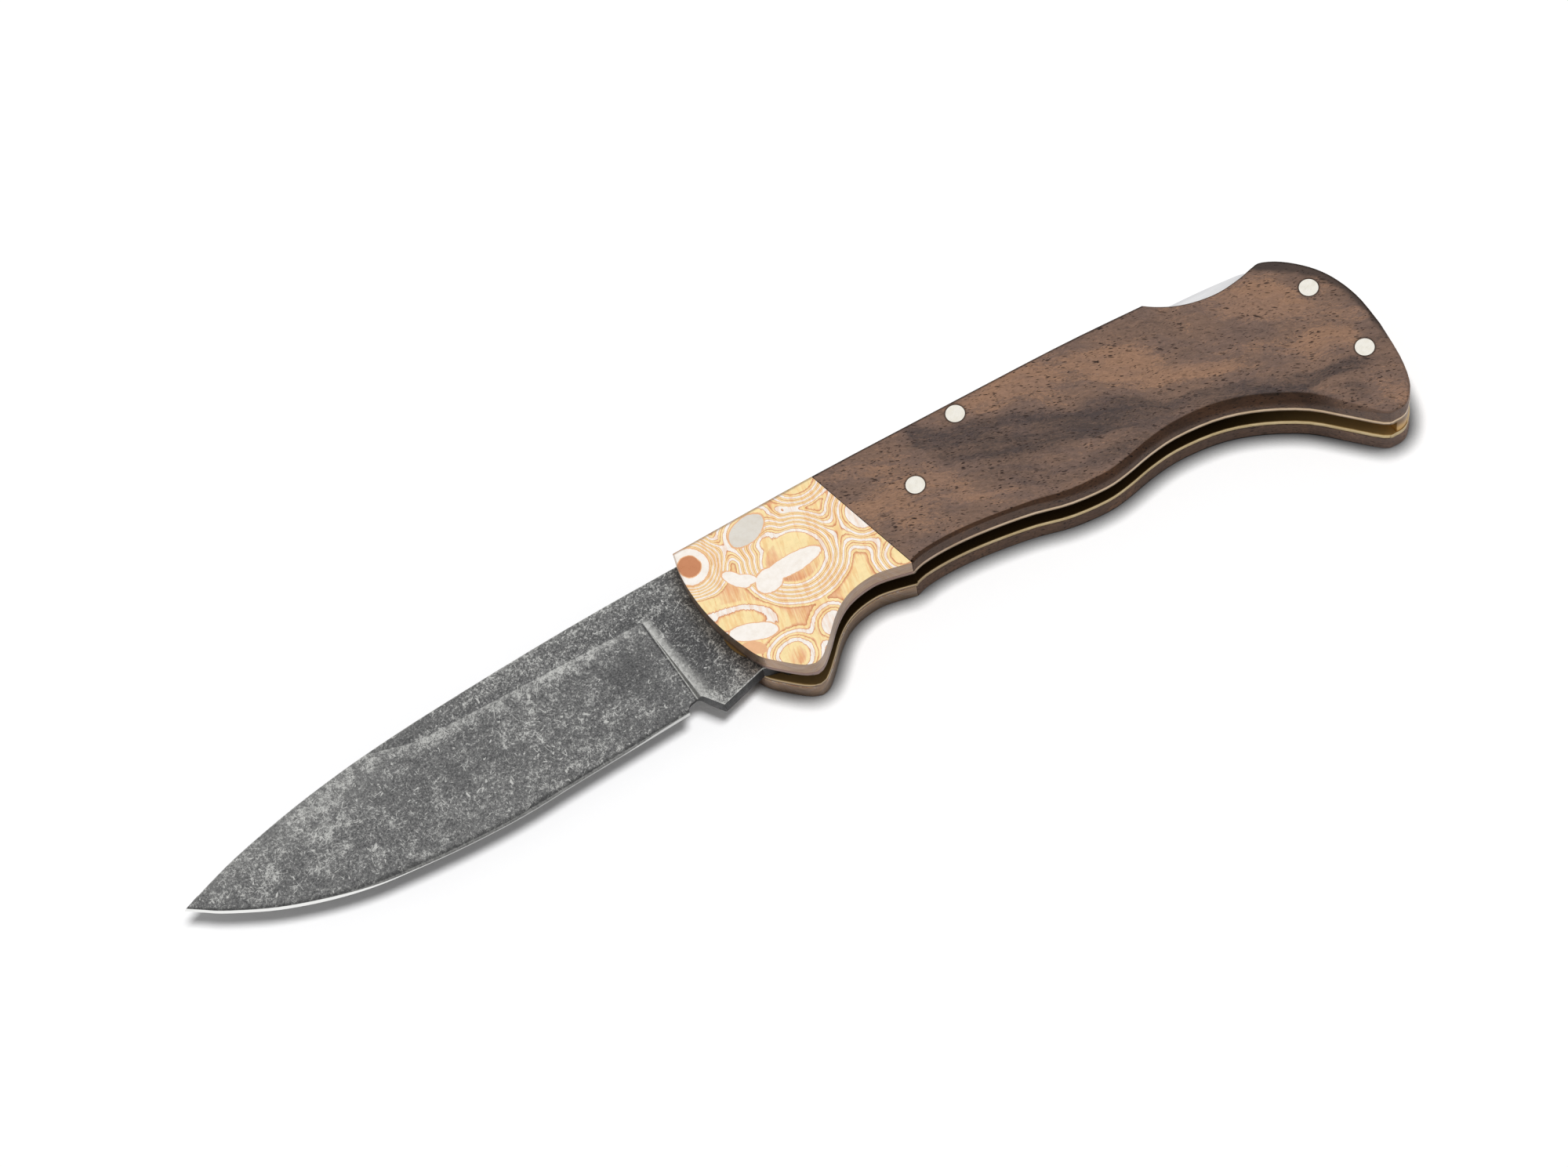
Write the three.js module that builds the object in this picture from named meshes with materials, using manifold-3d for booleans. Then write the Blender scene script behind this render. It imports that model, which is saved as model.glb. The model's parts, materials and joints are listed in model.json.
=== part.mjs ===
// Folding pocket knife with a rocking lock bar in its spine, shown open and lying on its rear side.
// Millimetres. The blade turns about Z through the origin. +X runs to the butt, +Y to the spine,
// and the rear face of the handle lies on z = 0.
import * as THREE from "three";
import { mergeVertices } from "three/addons/utils/BufferGeometryUtils.js";
import Module from "manifold-3d";

const manifold = await Module();
manifold.setup();

// Plates of the handle, from either face inwards
const COVER_THICKNESS = 3.1;
const LINER_THICKNESS = 1;
const BLADE_THICKNESS = 2.8;
const WASHER_THICKNESS = 0.23;
const WASHER_PLAY = 0.02;

// Handle outline: distances from the pivot
const BUTT_REACH = 105.4;
const FRONT_REACH = 7.6;
const SPINE_HEIGHT = 15.95;
const GUARD_DROP = 12.4;
const GUARD_X = 3.3;
const BOLSTER_WAIST_DROP = 4;
const GRIP_WAIST_DROP = 4.25;
const SWELL_DROP = 7.85;
const GROOVE_DROP = 5.8;
const LOBE_DROP = 20.75;

// Slanted joint between bolster and wood
const JOINT_TOP_X = 17.6;
const JOINT_FOOT_X = 23.8;
const JOINT_FOOT_DROP = 5.15;
const JOINT_GAP = 0.06;

// How far the outer edges roll over: reach into the face, and drop down the wall
const BOLSTER_EDGE = { reach: 0.35, drop: 0.16 };
const SPINE_EDGE = { reach: 0.45, drop: 0.2 };
const BUTT_EDGE = { reach: 1.1, drop: 0.5 };
const BELLY_EDGE = { reach: 0.6, drop: 0.8 };
const SWELL_EDGE = { reach: 1.15, drop: 1.9 };
const GROOVE_EDGE = { reach: 1.55, drop: 2.5 };
const LOBE_EDGE = { reach: 0.35, drop: 0.35 };
const REAR_EDGE_SHARE = 0.15;
const ROLL_TURN = Math.PI / 3;
const ROLL_STEPS = 4;

// Pins and their seats
const PIVOT_PIN_RADIUS = 2.4;
const PIVOT_PIN_SINK = 1.4;
const PIN_RADIUS = 1.55;
const DOWEL_RADIUS = 0.8;
const DOWEL_SINK = 1.3;
const SEAT_CLEARANCE = 0.02;
const RUNNING_CLEARANCE = 0.05;
const BLIND_CLEARANCE = 0.1;
const WASHER_RADIUS = 6.4;
const LOCK_PIN_X = 41.8;
const LOCK_PIN_DEPTH = 2.1;
const RIVET_X = 30.6;
const RIVET_Y = 6.2;
const BUTT_PIN_UPPER = { inset: 6.15, y: 4.6 };
const BUTT_PIN_LOWER = { inset: 4.3, y: -8.9 };
const DOWEL_UPPER = { x: 12.5, belowLockBar: 0.7 };
const DOWEL_LOWER = { x: 14, y: 0.5 };

// Lock bar
const LOCK_BAR_HEIGHT = 5.75;
const LOCK_BAR_SIDE_PLAY = 0.1;
const LOCK_BAR_END_INSET = 11.2;
const LOCK_BAR_END_DEPTH = 2.9;
const LUG_FRONT_X = 1.5;
const LUG_REAR_ANGLE = 64;

// Tang of the blade, with the notch that the lug drops into
const TANG_RADIUS = 8.9;
const LUG_CLEARANCE = 0.1;
const NOTCH_DEPTH = 0.9;
const STEP_CLEARANCE = 0.3;
const HOOK_CLEARANCE = 0.2;
const CLOSED_FLAT_RADIUS = 7.92;
const CLOSED_FLAT_FROM = 243.8;
const CLOSED_FLAT_TO = 262;
const CLOSED_RAMP = 6;

// Blade
const TIP_MARGIN = 8.2;
const TIP_Y = 3.1;
const EDGE_CLEARANCE = 0.7;
const BLADE_SPINE_DEPTH = 0.6;
const HEEL_X = 16.5;
const KICK_X = 11.3;
const GRIND_DEPTH = 6.05;
const PLUNGE_TOP_X = 15.7;
const PLUNGE_SLANT = 0.0946;
const PLUNGE_WIDTH = 1;
const EDGE_BEVEL = 0.42;
const SHOULDER_THICKNESS = 0.5;
const EDGE_THICKNESS = 0.08;
const HEEL_RISE = 1.9;

// Butt spacer and the leaf spring in it
const SPACER_INSET = 0.1;
const SPACER_REACH = 0.8;
const SPACER_FOOT = 3;
const LEAF_THICKNESS = 1;
const LEAF_TIP_X = 74;
const LEAF_ROOT_DEPTH = 6.6;
const LEAF_SEAT_LENGTH = 4;
const LEAF_SIDE_PLAY = 0.25;
const LEAF_GAP = 0.05;

const CHANNEL_WIDTH = BLADE_THICKNESS + 2 * (WASHER_THICKNESS + WASHER_PLAY);
const REAR_LINER_Z = COVER_THICKNESS;
const CHANNEL_Z = REAR_LINER_Z + LINER_THICKNESS;
const FRONT_LINER_Z = CHANNEL_Z + CHANNEL_WIDTH;
const FRONT_COVER_Z = FRONT_LINER_Z + LINER_THICKNESS;
const HANDLE_THICKNESS = FRONT_COVER_Z + COVER_THICKNESS;
const MIDDLE_Z = HANDLE_THICKNESS / 2;
const LOCK_BAR_UNDERSIDE = SPINE_HEIGHT - LOCK_BAR_HEIGHT;
const BLADE_REACH = BUTT_REACH - TIP_MARGIN;
const EDGE_DEPTH = LOCK_BAR_UNDERSIDE - EDGE_CLEARANCE;
const KICK_DEPTH = EDGE_DEPTH - 0.1;
const LOCK_PIN_Y = SPINE_HEIGHT - LOCK_PIN_DEPTH;
const BLADE_TOP = SPINE_HEIGHT - BLADE_SPINE_DEPTH;
const RICASSO_GRIND_Y = BLADE_TOP - GRIND_DEPTH;
const BOLSTER_DOWELS = [
  { x: DOWEL_UPPER.x, y: LOCK_BAR_UNDERSIDE - DOWEL_UPPER.belowLockBar },
  { x: DOWEL_LOWER.x, y: DOWEL_LOWER.y },
];
const THROUGH_PINS = [
  { name: "lock_bar_pin", x: LOCK_PIN_X, y: LOCK_PIN_Y },
  { name: "butt_pin_upper", x: BUTT_REACH - BUTT_PIN_UPPER.inset, y: BUTT_PIN_UPPER.y },
  { name: "butt_pin_lower", x: BUTT_REACH - BUTT_PIN_LOWER.inset, y: BUTT_PIN_LOWER.y },
];

// Sizes of cutting bodies: well past the knife, past the blade's width, and past a cut plate
const FAR = 200;
const SLAB_HALF = 25;
const OVERSHOOT = 1;

const SPLINE_STEPS = 3;
const EDGE_STEPS = 44;
const PIN_SIDES = 24;
const PIVOT_SIDES = 48;

const toVectors = (points) => points.map(([x, y]) => new THREE.Vector2(x, y));

// Upper outline behind the pivot: share of the reach to the butt, depth below the spine
const upper = (points) => points.map(([share, depth]) => [share * BUTT_REACH, SPINE_HEIGHT - depth]);

// Lower outline behind the joint: share of the reach to the butt, drop below the pivot
const lower = (points) => points.map(([share, drop]) => [share * BUTT_REACH, -drop]);

// Corners of the outline
const CUTOUT_CORNER = upper([[0.719, 0.6]])[0];
const FRONT_CORNER = [-FRONT_REACH + 0.7, SPINE_HEIGHT - 0.75];
const JOINT_FOOT = [JOINT_FOOT_X, -JOINT_FOOT_DROP];

const SPINE_LINE = upper([
  [0.58, 0.05],
  [0.38, 0],
  [0.16, 0.1],
]);

function handleShape() {
  const shape = new THREE.Shape();
  shape.moveTo(...FRONT_CORNER);
  // Front of the bolster, down to the guard
  shape.splineThru(
    toVectors([
      [-FRONT_REACH + 0.1, 12],
      [-FRONT_REACH, 8],
      [-FRONT_REACH + 0.4, 4],
      [-FRONT_REACH + 1.3, 0],
      [-FRONT_REACH + 2.7, -4],
      [-FRONT_REACH + 4.1, -7],
      [GUARD_X - 4.6, 3.1 - GUARD_DROP],
      [GUARD_X - 1.8, 0.7 - GUARD_DROP],
      [GUARD_X, -GUARD_DROP],
    ]),
  );
  // Hollow behind the guard, to the foot of the joint
  shape.splineThru(
    toVectors([
      [GUARD_X + 1.5, 0.5 - GUARD_DROP],
      [GUARD_X + 3.6, 2.5 - GUARD_DROP],
      [GUARD_X + 6, -3.3 - BOLSTER_WAIST_DROP],
      [GUARD_X + 8.3, -1.5 - BOLSTER_WAIST_DROP],
      [GUARD_X + 10.6, -0.5 - BOLSTER_WAIST_DROP],
      [GUARD_X + 13.4, -BOLSTER_WAIST_DROP],
      [JOINT_FOOT_X - 4.6, -0.1 - BOLSTER_WAIST_DROP],
      JOINT_FOOT,
    ]),
  );
  // Two finger grooves and the lobe of the butt
  shape.splineThru(
    toVectors([
      [JOINT_FOOT_X + 2.2, 0.65 - JOINT_FOOT_DROP],
      ...lower([
        [0.288, GRIP_WAIST_DROP],
        [0.343, GRIP_WAIST_DROP + 0.35],
        [0.415, GRIP_WAIST_DROP + 1.5],
        [0.473, SWELL_DROP - 0.55],
        [0.53, SWELL_DROP],
        [0.568, SWELL_DROP - 0.45],
        [0.615, GROOVE_DROP + 0.5],
        [0.663, GROOVE_DROP],
        [0.727, GROOVE_DROP + 0.65],
        [0.785, GROOVE_DROP + 2.7],
        [0.844, GROOVE_DROP + 6.25],
        [0.887, LOBE_DROP - 4.5],
        [0.927, LOBE_DROP - 0.5],
        [0.945, LOBE_DROP],
        [0.96, LOBE_DROP - 0.2],
        [0.972, LOBE_DROP - 1.2],
        [0.986, LOBE_DROP - 3.4],
        [0.996, LOBE_DROP - 7.8],
        [1, LOBE_DROP - 14.4],
      ]),
    ]),
  );
  // Round butt up to the hump, and the thumb cutout in front of it
  shape.splineThru(
    toVectors(
      upper([
        [0.997, 17.05],
        [0.988, 13.15],
        [0.975, 10.05],
        [0.956, 7.35],
        [0.93, 4.85],
        [0.904, 3.45],
        [0.888, 3.6],
        [0.863, 4.3],
        [0.826, 4.75],
        [0.79, 4.3],
        [0.76, 3.3],
        [0.735, 1.85],
        [0.719, 0.6],
      ]),
    ),
  );
  shape.splineThru(toVectors([...SPINE_LINE, FRONT_CORNER]));
  return shape;
}

// Closed ring of outline points, counterclockwise and without a doubled end point
function outlinePoints(shape) {
  const points = shape.getPoints(SPLINE_STEPS).filter((p, i, all) => !i || p.distanceTo(all[i - 1]) > 1e-3);
  if (points[0].distanceTo(points[points.length - 1]) < 1e-3) points.pop();
  return THREE.ShapeUtils.isClockWise(points) ? points.reverse() : points;
}

// Value at x on a line through [x, value] pairs in rising x
function valueAt(pairs, x) {
  const next = pairs.findIndex(([px]) => px >= x);
  if (next < 0) return pairs[pairs.length - 1][1];
  if (next === 0) return pairs[0][1];
  const [[x0, v0], [x1, v1]] = [pairs[next - 1], pairs[next]];
  return THREE.MathUtils.mapLinear(x, x0, x1, v0, v1);
}

// Edge roll of the wood at a point of the outline: share of the reach to the butt, and the roll there
function woodRoll(point) {
  const below = point.y < JOINT_FOOT_DROP / 2;
  const belly = [
    [0.24, BELLY_EDGE],
    [0.4, BELLY_EDGE],
    [0.52, SWELL_EDGE],
    [0.61, SWELL_EDGE],
    [0.7, GROOVE_EDGE],
    [0.85, GROOVE_EDGE],
    [0.925, LOBE_EDGE],
    [0.96, LOBE_EDGE],
    [1, BUTT_EDGE],
  ];
  const spine = [
    [0.7, SPINE_EDGE],
    [0.86, SPINE_EDGE],
    [0.93, BUTT_EDGE],
  ];
  const table = below ? belly : spine;
  const size = (name) => valueAt(table.map(([share, edge]) => [share, edge[name]]), point.x / BUTT_REACH);
  return { reach: size("reach"), drop: size("drop") };
}

function toSolid(geometry) {
  geometry.deleteAttribute("normal");
  geometry.deleteAttribute("uv");
  const merged = mergeVertices(geometry, 1e-4);
  return new manifold.Manifold(
    new manifold.Mesh({
      numProp: 3,
      vertProperties: merged.attributes.position.array,
      triVerts: Uint32Array.from(merged.index.array),
    }),
  );
}

// Flat plate with the outline of a shape, from one height up to another
function plate(shape, bottom, top) {
  const geometry = new THREE.ExtrudeGeometry(shape, {
    depth: top - bottom,
    bevelEnabled: false,
    curveSegments: SPLINE_STEPS,
  });
  geometry.translate(0, 0, bottom);
  return toSolid(geometry);
}

function polygonPlate(points, bottom, top) {
  return plate(new THREE.Shape(toVectors(points)), bottom, top);
}

function rod(x, y, radius, bottom, top, sides = PIN_SIDES) {
  const geometry = new THREE.CylinderGeometry(radius, radius, top - bottom, sides);
  geometry.rotateX(Math.PI / 2);
  geometry.translate(x, y, (bottom + top) / 2);
  return toSolid(geometry);
}

// Solid through rings of equally many points, closed by its first and last ring
function loft(rings, capTriangles) {
  const count = rings[0].length;
  const index = [];
  for (let r = 0; r + 1 < rings.length; r++) {
    for (let i = 0; i < count; i++) {
      const j = (i + 1) % count;
      const [a, b, c, d] = [r * count + i, r * count + j, (r + 1) * count + j, (r + 1) * count + i];
      index.push(a, b, c, a, c, d);
    }
  }
  const last = (rings.length - 1) * count;
  capTriangles(rings[0]).forEach(([a, b, c]) => index.push(c, b, a));
  capTriangles(rings[rings.length - 1]).forEach(([a, b, c]) => index.push(last + a, last + b, last + c));
  const geometry = new THREE.BufferGeometry();
  geometry.setAttribute("position", new THREE.Float32BufferAttribute(rings.flat(2), 3));
  geometry.setIndex(index);
  return toSolid(geometry);
}

// Ring moved inwards along its own normals, each point by its own amount
function insetRing(points, amounts) {
  return points.map((point, i) => {
    const before = points[(i + points.length - 1) % points.length];
    const after = points[(i + 1) % points.length];
    const intoPoint = point.clone().sub(before).normalize();
    const outOfPoint = after.clone().sub(point).normalize();
    const along = intoPoint.clone().add(outOfPoint).normalize();
    const miter = 1 / Math.max(0.75, along.dot(intoPoint));
    return new THREE.Vector2(-along.y, along.x).multiplyScalar(amounts[i] * miter).add(point);
  });
}

// Side cover whose outer edge rolls over, less so on the rear side that the knife lies on;
// side is 1 for the front cover and -1 for the rear one
function rolledCover(points, rollOf, side) {
  const inner = MIDDLE_Z + side * (FRONT_COVER_Z - MIDDLE_Z);
  const share = side > 0 ? 1 : REAR_EDGE_SHARE;
  const rolls = points.map(rollOf);
  const levels = [{ inset: 0, rise: null }];
  for (let step = 0; step <= ROLL_STEPS; step++) {
    const angle = (step / ROLL_STEPS) * ROLL_TURN;
    levels.push({
      inset: (1 - Math.cos(angle)) / (1 - Math.cos(ROLL_TURN)),
      rise: Math.sin(angle) / Math.sin(ROLL_TURN),
    });
  }
  const rings = levels.map(({ inset, rise }) =>
    insetRing(points, rolls.map(({ reach }) => reach * share * inset)).map((p, i) => {
      const up = rise === null ? 0 : COVER_THICKNESS - rolls[i].drop * share * (1 - rise);
      return [p.x, p.y, inner + side * up];
    }),
  );
  const cap = (ring) => THREE.ShapeUtils.triangulateShape(toVectors(ring), []);
  const ordered = side > 0 ? rings : rings.reverse();
  return loft(ordered, cap);
}

// Half planes on either side of the slanted joint, as thick plates
function jointSide(towardsButt) {
  const along = new THREE.Vector2(JOINT_TOP_X - JOINT_FOOT_X, SPINE_HEIGHT + JOINT_FOOT_DROP).normalize();
  const shift = towardsButt ? JOINT_GAP / 2 : -JOINT_GAP / 2;
  const foot = [JOINT_FOOT[0] + shift - along.x * FAR, JOINT_FOOT[1] - along.y * FAR];
  const top = [JOINT_FOOT[0] + shift + along.x * FAR, JOINT_FOOT[1] + along.y * FAR];
  const away = towardsButt ? FAR : -FAR;
  const corners = [foot, [foot[0] + away, foot[1]], [top[0] + away, top[1]], top];
  return polygonPlate(corners, -OVERSHOOT, HANDLE_THICKNESS + OVERSHOOT);
}

// Hole through the whole handle for a pin of the given radius
function throughHole(x, y, radius, sides = PIN_SIDES) {
  return rod(x, y, radius, -OVERSHOOT, HANDLE_THICKNESS + OVERSHOOT, sides);
}

function throughHoles() {
  const holes = [...THROUGH_PINS, { x: RIVET_X, y: RIVET_Y }].map(({ x, y }) =>
    throughHole(x, y, PIN_RADIUS + SEAT_CLEARANCE),
  );
  return manifold.Manifold.union(holes);
}

const HANDLE_OUTLINE = outlinePoints(handleShape());

function scale(side) {
  return rolledCover(HANDLE_OUTLINE, woodRoll, side).intersect(jointSide(true)).subtract(throughHoles());
}

function bolster(side) {
  const pivotSeat = FRONT_COVER_Z + PIVOT_PIN_SINK - MIDDLE_Z + BLIND_CLEARANCE;
  const dowelSeat = FRONT_COVER_Z + DOWEL_SINK - MIDDLE_Z + BLIND_CLEARANCE;
  const seats = [
    rod(0, 0, PIVOT_PIN_RADIUS + SEAT_CLEARANCE, MIDDLE_Z - pivotSeat, MIDDLE_Z + pivotSeat, PIVOT_SIDES),
    ...BOLSTER_DOWELS.map(({ x, y }) =>
      rod(x, y, DOWEL_RADIUS + SEAT_CLEARANCE, MIDDLE_Z - dowelSeat, MIDDLE_Z + dowelSeat),
    ),
  ];
  return rolledCover(HANDLE_OUTLINE, () => BOLSTER_EDGE, side)
    .intersect(jointSide(false))
    .subtract(manifold.Manifold.union(seats));
}

function liner(bottom) {
  const top = bottom + LINER_THICKNESS;
  const holes = [
    throughHole(0, 0, PIVOT_PIN_RADIUS + SEAT_CLEARANCE, PIVOT_SIDES),
    ...BOLSTER_DOWELS.map(({ x, y }) => throughHole(x, y, DOWEL_RADIUS + SEAT_CLEARANCE)),
    throughHoles(),
  ];
  return polygonPlate(HANDLE_OUTLINE.map((p) => [p.x, p.y]), bottom, top).subtract(
    manifold.Manifold.union(holes),
  );
}

// Short dowel in the liner and the blind seat of its bolster
function dowel({ x, y }, side) {
  const inner = FRONT_LINER_Z + SEAT_CLEARANCE;
  const outer = FRONT_COVER_Z + DOWEL_SINK;
  return side > 0
    ? rod(x, y, DOWEL_RADIUS, inner, outer)
    : rod(x, y, DOWEL_RADIUS, HANDLE_THICKNESS - outer, HANDLE_THICKNESS - inner);
}

function rivet(side) {
  return side > 0
    ? rod(RIVET_X, RIVET_Y, PIN_RADIUS, FRONT_LINER_Z, HANDLE_THICKNESS)
    : rod(RIVET_X, RIVET_Y, PIN_RADIUS, 0, CHANNEL_Z);
}

function washer(bottom) {
  const top = bottom + WASHER_THICKNESS;
  return rod(0, 0, WASHER_RADIUS, bottom, top, PIVOT_SIDES).subtract(
    throughHole(0, 0, PIVOT_PIN_RADIUS + RUNNING_CLEARANCE, PIVOT_SIDES),
  );
}

const polar = (radius, degrees) => {
  const angle = THREE.MathUtils.degToRad(degrees);
  return [radius * Math.cos(angle), radius * Math.sin(angle)];
};

// Points on an arc about the pivot, both ends included
function pivotArc(radius, from, to, steps) {
  return Array.from({ length: steps + 1 }, (_, i) => polar(radius, from + ((to - from) * i) / steps));
}

const degreesAtX = (radius, x) => THREE.MathUtils.radToDeg(Math.acos(x / radius));

// Spine of the blade: share of its reach, and drop below its top at the tang
const BLADE_SPINE = [
  [0.947, 10.35],
  [0.885, 8.45],
  [0.782, 6.05],
  [0.679, 4.3],
  [0.576, 3.05],
  [0.473, 2.15],
  [0.37, 1.4],
  [0.267, 0.8],
  [0.165, 0.4],
  [0.07, 0.15],
].map(([share, drop]) => [-share * BLADE_REACH, BLADE_TOP - drop]);

// Edge of the blade: share of its reach, and rise above its lowest point
const EDGE_LINE = [
  [1.005, EDGE_DEPTH + TIP_Y + 0.3],
  [0.975, EDGE_DEPTH + TIP_Y - 1.7],
  [0.947, 9.1],
  [0.885, 6],
  [0.834, 4.05],
  [0.782, 2.5],
  [0.73, 1.4],
  [0.679, 0.8],
  [0.576, 0.1],
  [0.473, 0],
  [0.37, 0.7],
  [0.267, 1.3],
].map(([share, rise]) => [-share * BLADE_REACH, rise - EDGE_DEPTH]);

// Where the ground face starts, in rising x: share of the reach, and drop below the blade's top;
// past the front end it runs out over the spine
const GRIND_LINE = [
  [1.01, -0.65],
  [0.885, 1.35],
  [0.782, 2.85],
  [0.679, 3.95],
  [0.62, 5.25],
  [0.566, GRIND_DEPTH],
].map(([share, drop]) => [-share * BLADE_REACH, BLADE_TOP - drop]);

function bladeShape() {
  const stepX = LUG_FRONT_X - STEP_CLEARANCE;
  const floor = TANG_RADIUS - NOTCH_DEPTH;
  const lugRearX = polar(TANG_RADIUS + LUG_CLEARANCE, LUG_REAR_ANGLE)[0];
  const hookX = lugRearX + HOOK_CLEARANCE;
  const flatEnd = polar(CLOSED_FLAT_RADIUS, CLOSED_FLAT_FROM);
  const shape = new THREE.Shape();
  shape.moveTo(-BLADE_REACH, TIP_Y);
  shape.splineThru(toVectors([...BLADE_SPINE, [stepX, BLADE_TOP]]));
  // Notch and hook, then round the rear of the tang to the flat that faces the lug when closed
  const tang = [
    ...pivotArc(floor, degreesAtX(floor, stepX), degreesAtX(floor, hookX), 4),
    ...pivotArc(TANG_RADIUS, degreesAtX(TANG_RADIUS, hookX), CLOSED_FLAT_TO + CLOSED_RAMP - 360, 40),
    ...pivotArc(CLOSED_FLAT_RADIUS, CLOSED_FLAT_TO - 360, CLOSED_FLAT_FROM - 360, 6),
  ];
  tang.forEach(([x, y]) => shape.lineTo(x, y));
  // Underside of the ricasso, the kick, and the small choil in front of it
  shape.lineTo((flatEnd[0] - KICK_X) / 2, (flatEnd[1] - KICK_DEPTH) / 2);
  shape.lineTo(-KICK_X, -KICK_DEPTH);
  shape.lineTo(-KICK_X - 0.3, 0.35 - KICK_DEPTH);
  shape.lineTo(-KICK_X - 1.9, 2.5 - KICK_DEPTH);
  shape.quadraticCurveTo(-KICK_X - 2.4, 3.3 - KICK_DEPTH, -KICK_X - 3.2, 3.45 - KICK_DEPTH);
  shape.quadraticCurveTo(-HEEL_X + 0.6, 3.3 - KICK_DEPTH, -HEEL_X + 0.3, 2.8 - KICK_DEPTH);
  shape.lineTo(-HEEL_X, 1.7 - KICK_DEPTH);
  // Below the edge: the ground faces cut the outline back to the edge
  shape.lineTo(-HEEL_X, -EDGE_DEPTH - 1);
  shape.lineTo(-0.7 * BLADE_REACH, -EDGE_DEPTH - 1);
  shape.lineTo(-BLADE_REACH, TIP_Y - 3);
  return shape;
}

// Full thickness at the tang, ground down to the edge in front of the plunge line
function bladeGrind() {
  const half = BLADE_THICKNESS / 2;
  const heelY = HEEL_RISE - EDGE_DEPTH;
  const edge = new THREE.SplineCurve(toVectors([...EDGE_LINE, [-HEEL_X, heelY]]));
  const section = (x, edgeY, grindY, shoulder, tip, slant) => {
    const side = [
      [SLAB_HALF, half],
      [grindY, half],
      [edgeY + EDGE_BEVEL, shoulder],
      [edgeY, tip],
    ];
    const mirrored = side.map(([y, z]) => [y, -z]).reverse();
    return [...side, ...mirrored].map(([y, z]) => [x + slant * (RICASSO_GRIND_Y - y), y, MIDDLE_Z + z]);
  };
  const shoulder = SHOULDER_THICKNESS / 2;
  const sharp = EDGE_THICKNESS / 2;
  const rings = edge
    .getPoints(EDGE_STEPS)
    .map(({ x, y }) => section(x, y, valueAt(GRIND_LINE, x), shoulder, sharp, 0));
  rings.push(section(-PLUNGE_TOP_X, heelY, RICASSO_GRIND_Y, shoulder, sharp, PLUNGE_SLANT));
  for (const x of [-PLUNGE_TOP_X + PLUNGE_WIDTH, FAR]) {
    rings.push(section(x, -SLAB_HALF, RICASSO_GRIND_Y, half, half, PLUNGE_SLANT));
  }
  const fan = (ring) => ring.slice(2).map((_, i) => [0, i + 1, i + 2]);
  return loft(rings, fan);
}

function blade() {
  const body = plate(bladeShape(), MIDDLE_Z - BLADE_THICKNESS / 2, MIDDLE_Z + BLADE_THICKNESS / 2);
  const pivotHole = throughHole(0, 0, PIVOT_PIN_RADIUS + RUNNING_CLEARANCE, PIVOT_SIDES);
  return body.intersect(bladeGrind()).subtract(pivotHole);
}

function lockBar() {
  const lugRadius = TANG_RADIUS + LUG_CLEARANCE;
  const endX = BUTT_REACH - LOCK_BAR_END_INSET;
  const frontDepth = THREE.MathUtils.mapLinear(LUG_FRONT_X, 0, JOINT_TOP_X, BLADE_SPINE_DEPTH, 0.1);
  const lugArc = pivotArc(lugRadius, degreesAtX(lugRadius, LUG_FRONT_X), LUG_REAR_ANGLE, 4);
  const lugRear = lugArc[lugArc.length - 1];
  const shape = new THREE.Shape();
  shape.moveTo(LUG_FRONT_X, SPINE_HEIGHT - frontDepth);
  lugArc.forEach(([x, y]) => shape.lineTo(x, y));
  shape.lineTo(lugRear[0], LOCK_BAR_UNDERSIDE - 0.6);
  shape.quadraticCurveTo(lugRear[0], LOCK_BAR_UNDERSIDE, lugRear[0] + 0.8, LOCK_BAR_UNDERSIDE);
  shape.lineTo(endX - 0.8, LOCK_BAR_UNDERSIDE);
  shape.quadraticCurveTo(endX, LOCK_BAR_UNDERSIDE, endX, LOCK_BAR_UNDERSIDE + 0.8);
  shape.lineTo(endX, SPINE_HEIGHT - LOCK_BAR_END_DEPTH);
  shape.quadraticCurveTo(endX - 0.1, SPINE_HEIGHT - 1.7, endX - 2.2, SPINE_HEIGHT - 1.5);
  shape.splineThru(toVectors([...upper([[0.81, 0.95]]), CUTOUT_CORNER, ...SPINE_LINE]));
  const bottom = CHANNEL_Z + LOCK_BAR_SIDE_PLAY;
  return plate(shape, bottom, FRONT_LINER_Z - LOCK_BAR_SIDE_PLAY).subtract(
    throughHole(LOCK_PIN_X, LOCK_PIN_Y, PIN_RADIUS + RUNNING_CLEARANCE),
  );
}

// Top line of the leaf spring, from its seat in the spacer to its tip under the lock bar
const LEAF_ROOT_X = BUTT_REACH - LOCK_BAR_END_INSET + SPACER_REACH + LEAF_SEAT_LENGTH;
const LEAF_ROOT_Y = SPINE_HEIGHT - LEAF_ROOT_DEPTH;
const LEAF_TIP_Y = LOCK_BAR_UNDERSIDE - LEAF_GAP;
const LEAF_BEND_X = LEAF_ROOT_X - LEAF_SEAT_LENGTH;

function leafShape(margin) {
  const shape = new THREE.Shape();
  shape.moveTo(LEAF_ROOT_X + margin, LEAF_ROOT_Y + margin);
  shape.lineTo(LEAF_BEND_X, LEAF_ROOT_Y + margin);
  shape.quadraticCurveTo(LEAF_TIP_X + 10, LEAF_ROOT_Y + margin, LEAF_TIP_X, LEAF_TIP_Y + margin);
  shape.lineTo(LEAF_TIP_X, LEAF_TIP_Y - LEAF_THICKNESS - margin);
  const under = LEAF_ROOT_Y - LEAF_THICKNESS - margin;
  shape.quadraticCurveTo(LEAF_TIP_X + 10, under, LEAF_BEND_X, under);
  shape.lineTo(LEAF_ROOT_X + margin, under);
  return shape;
}

function lockSpring() {
  return plate(leafShape(0), CHANNEL_Z + LEAF_SIDE_PLAY, FRONT_LINER_Z - LEAF_SIDE_PLAY);
}

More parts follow.
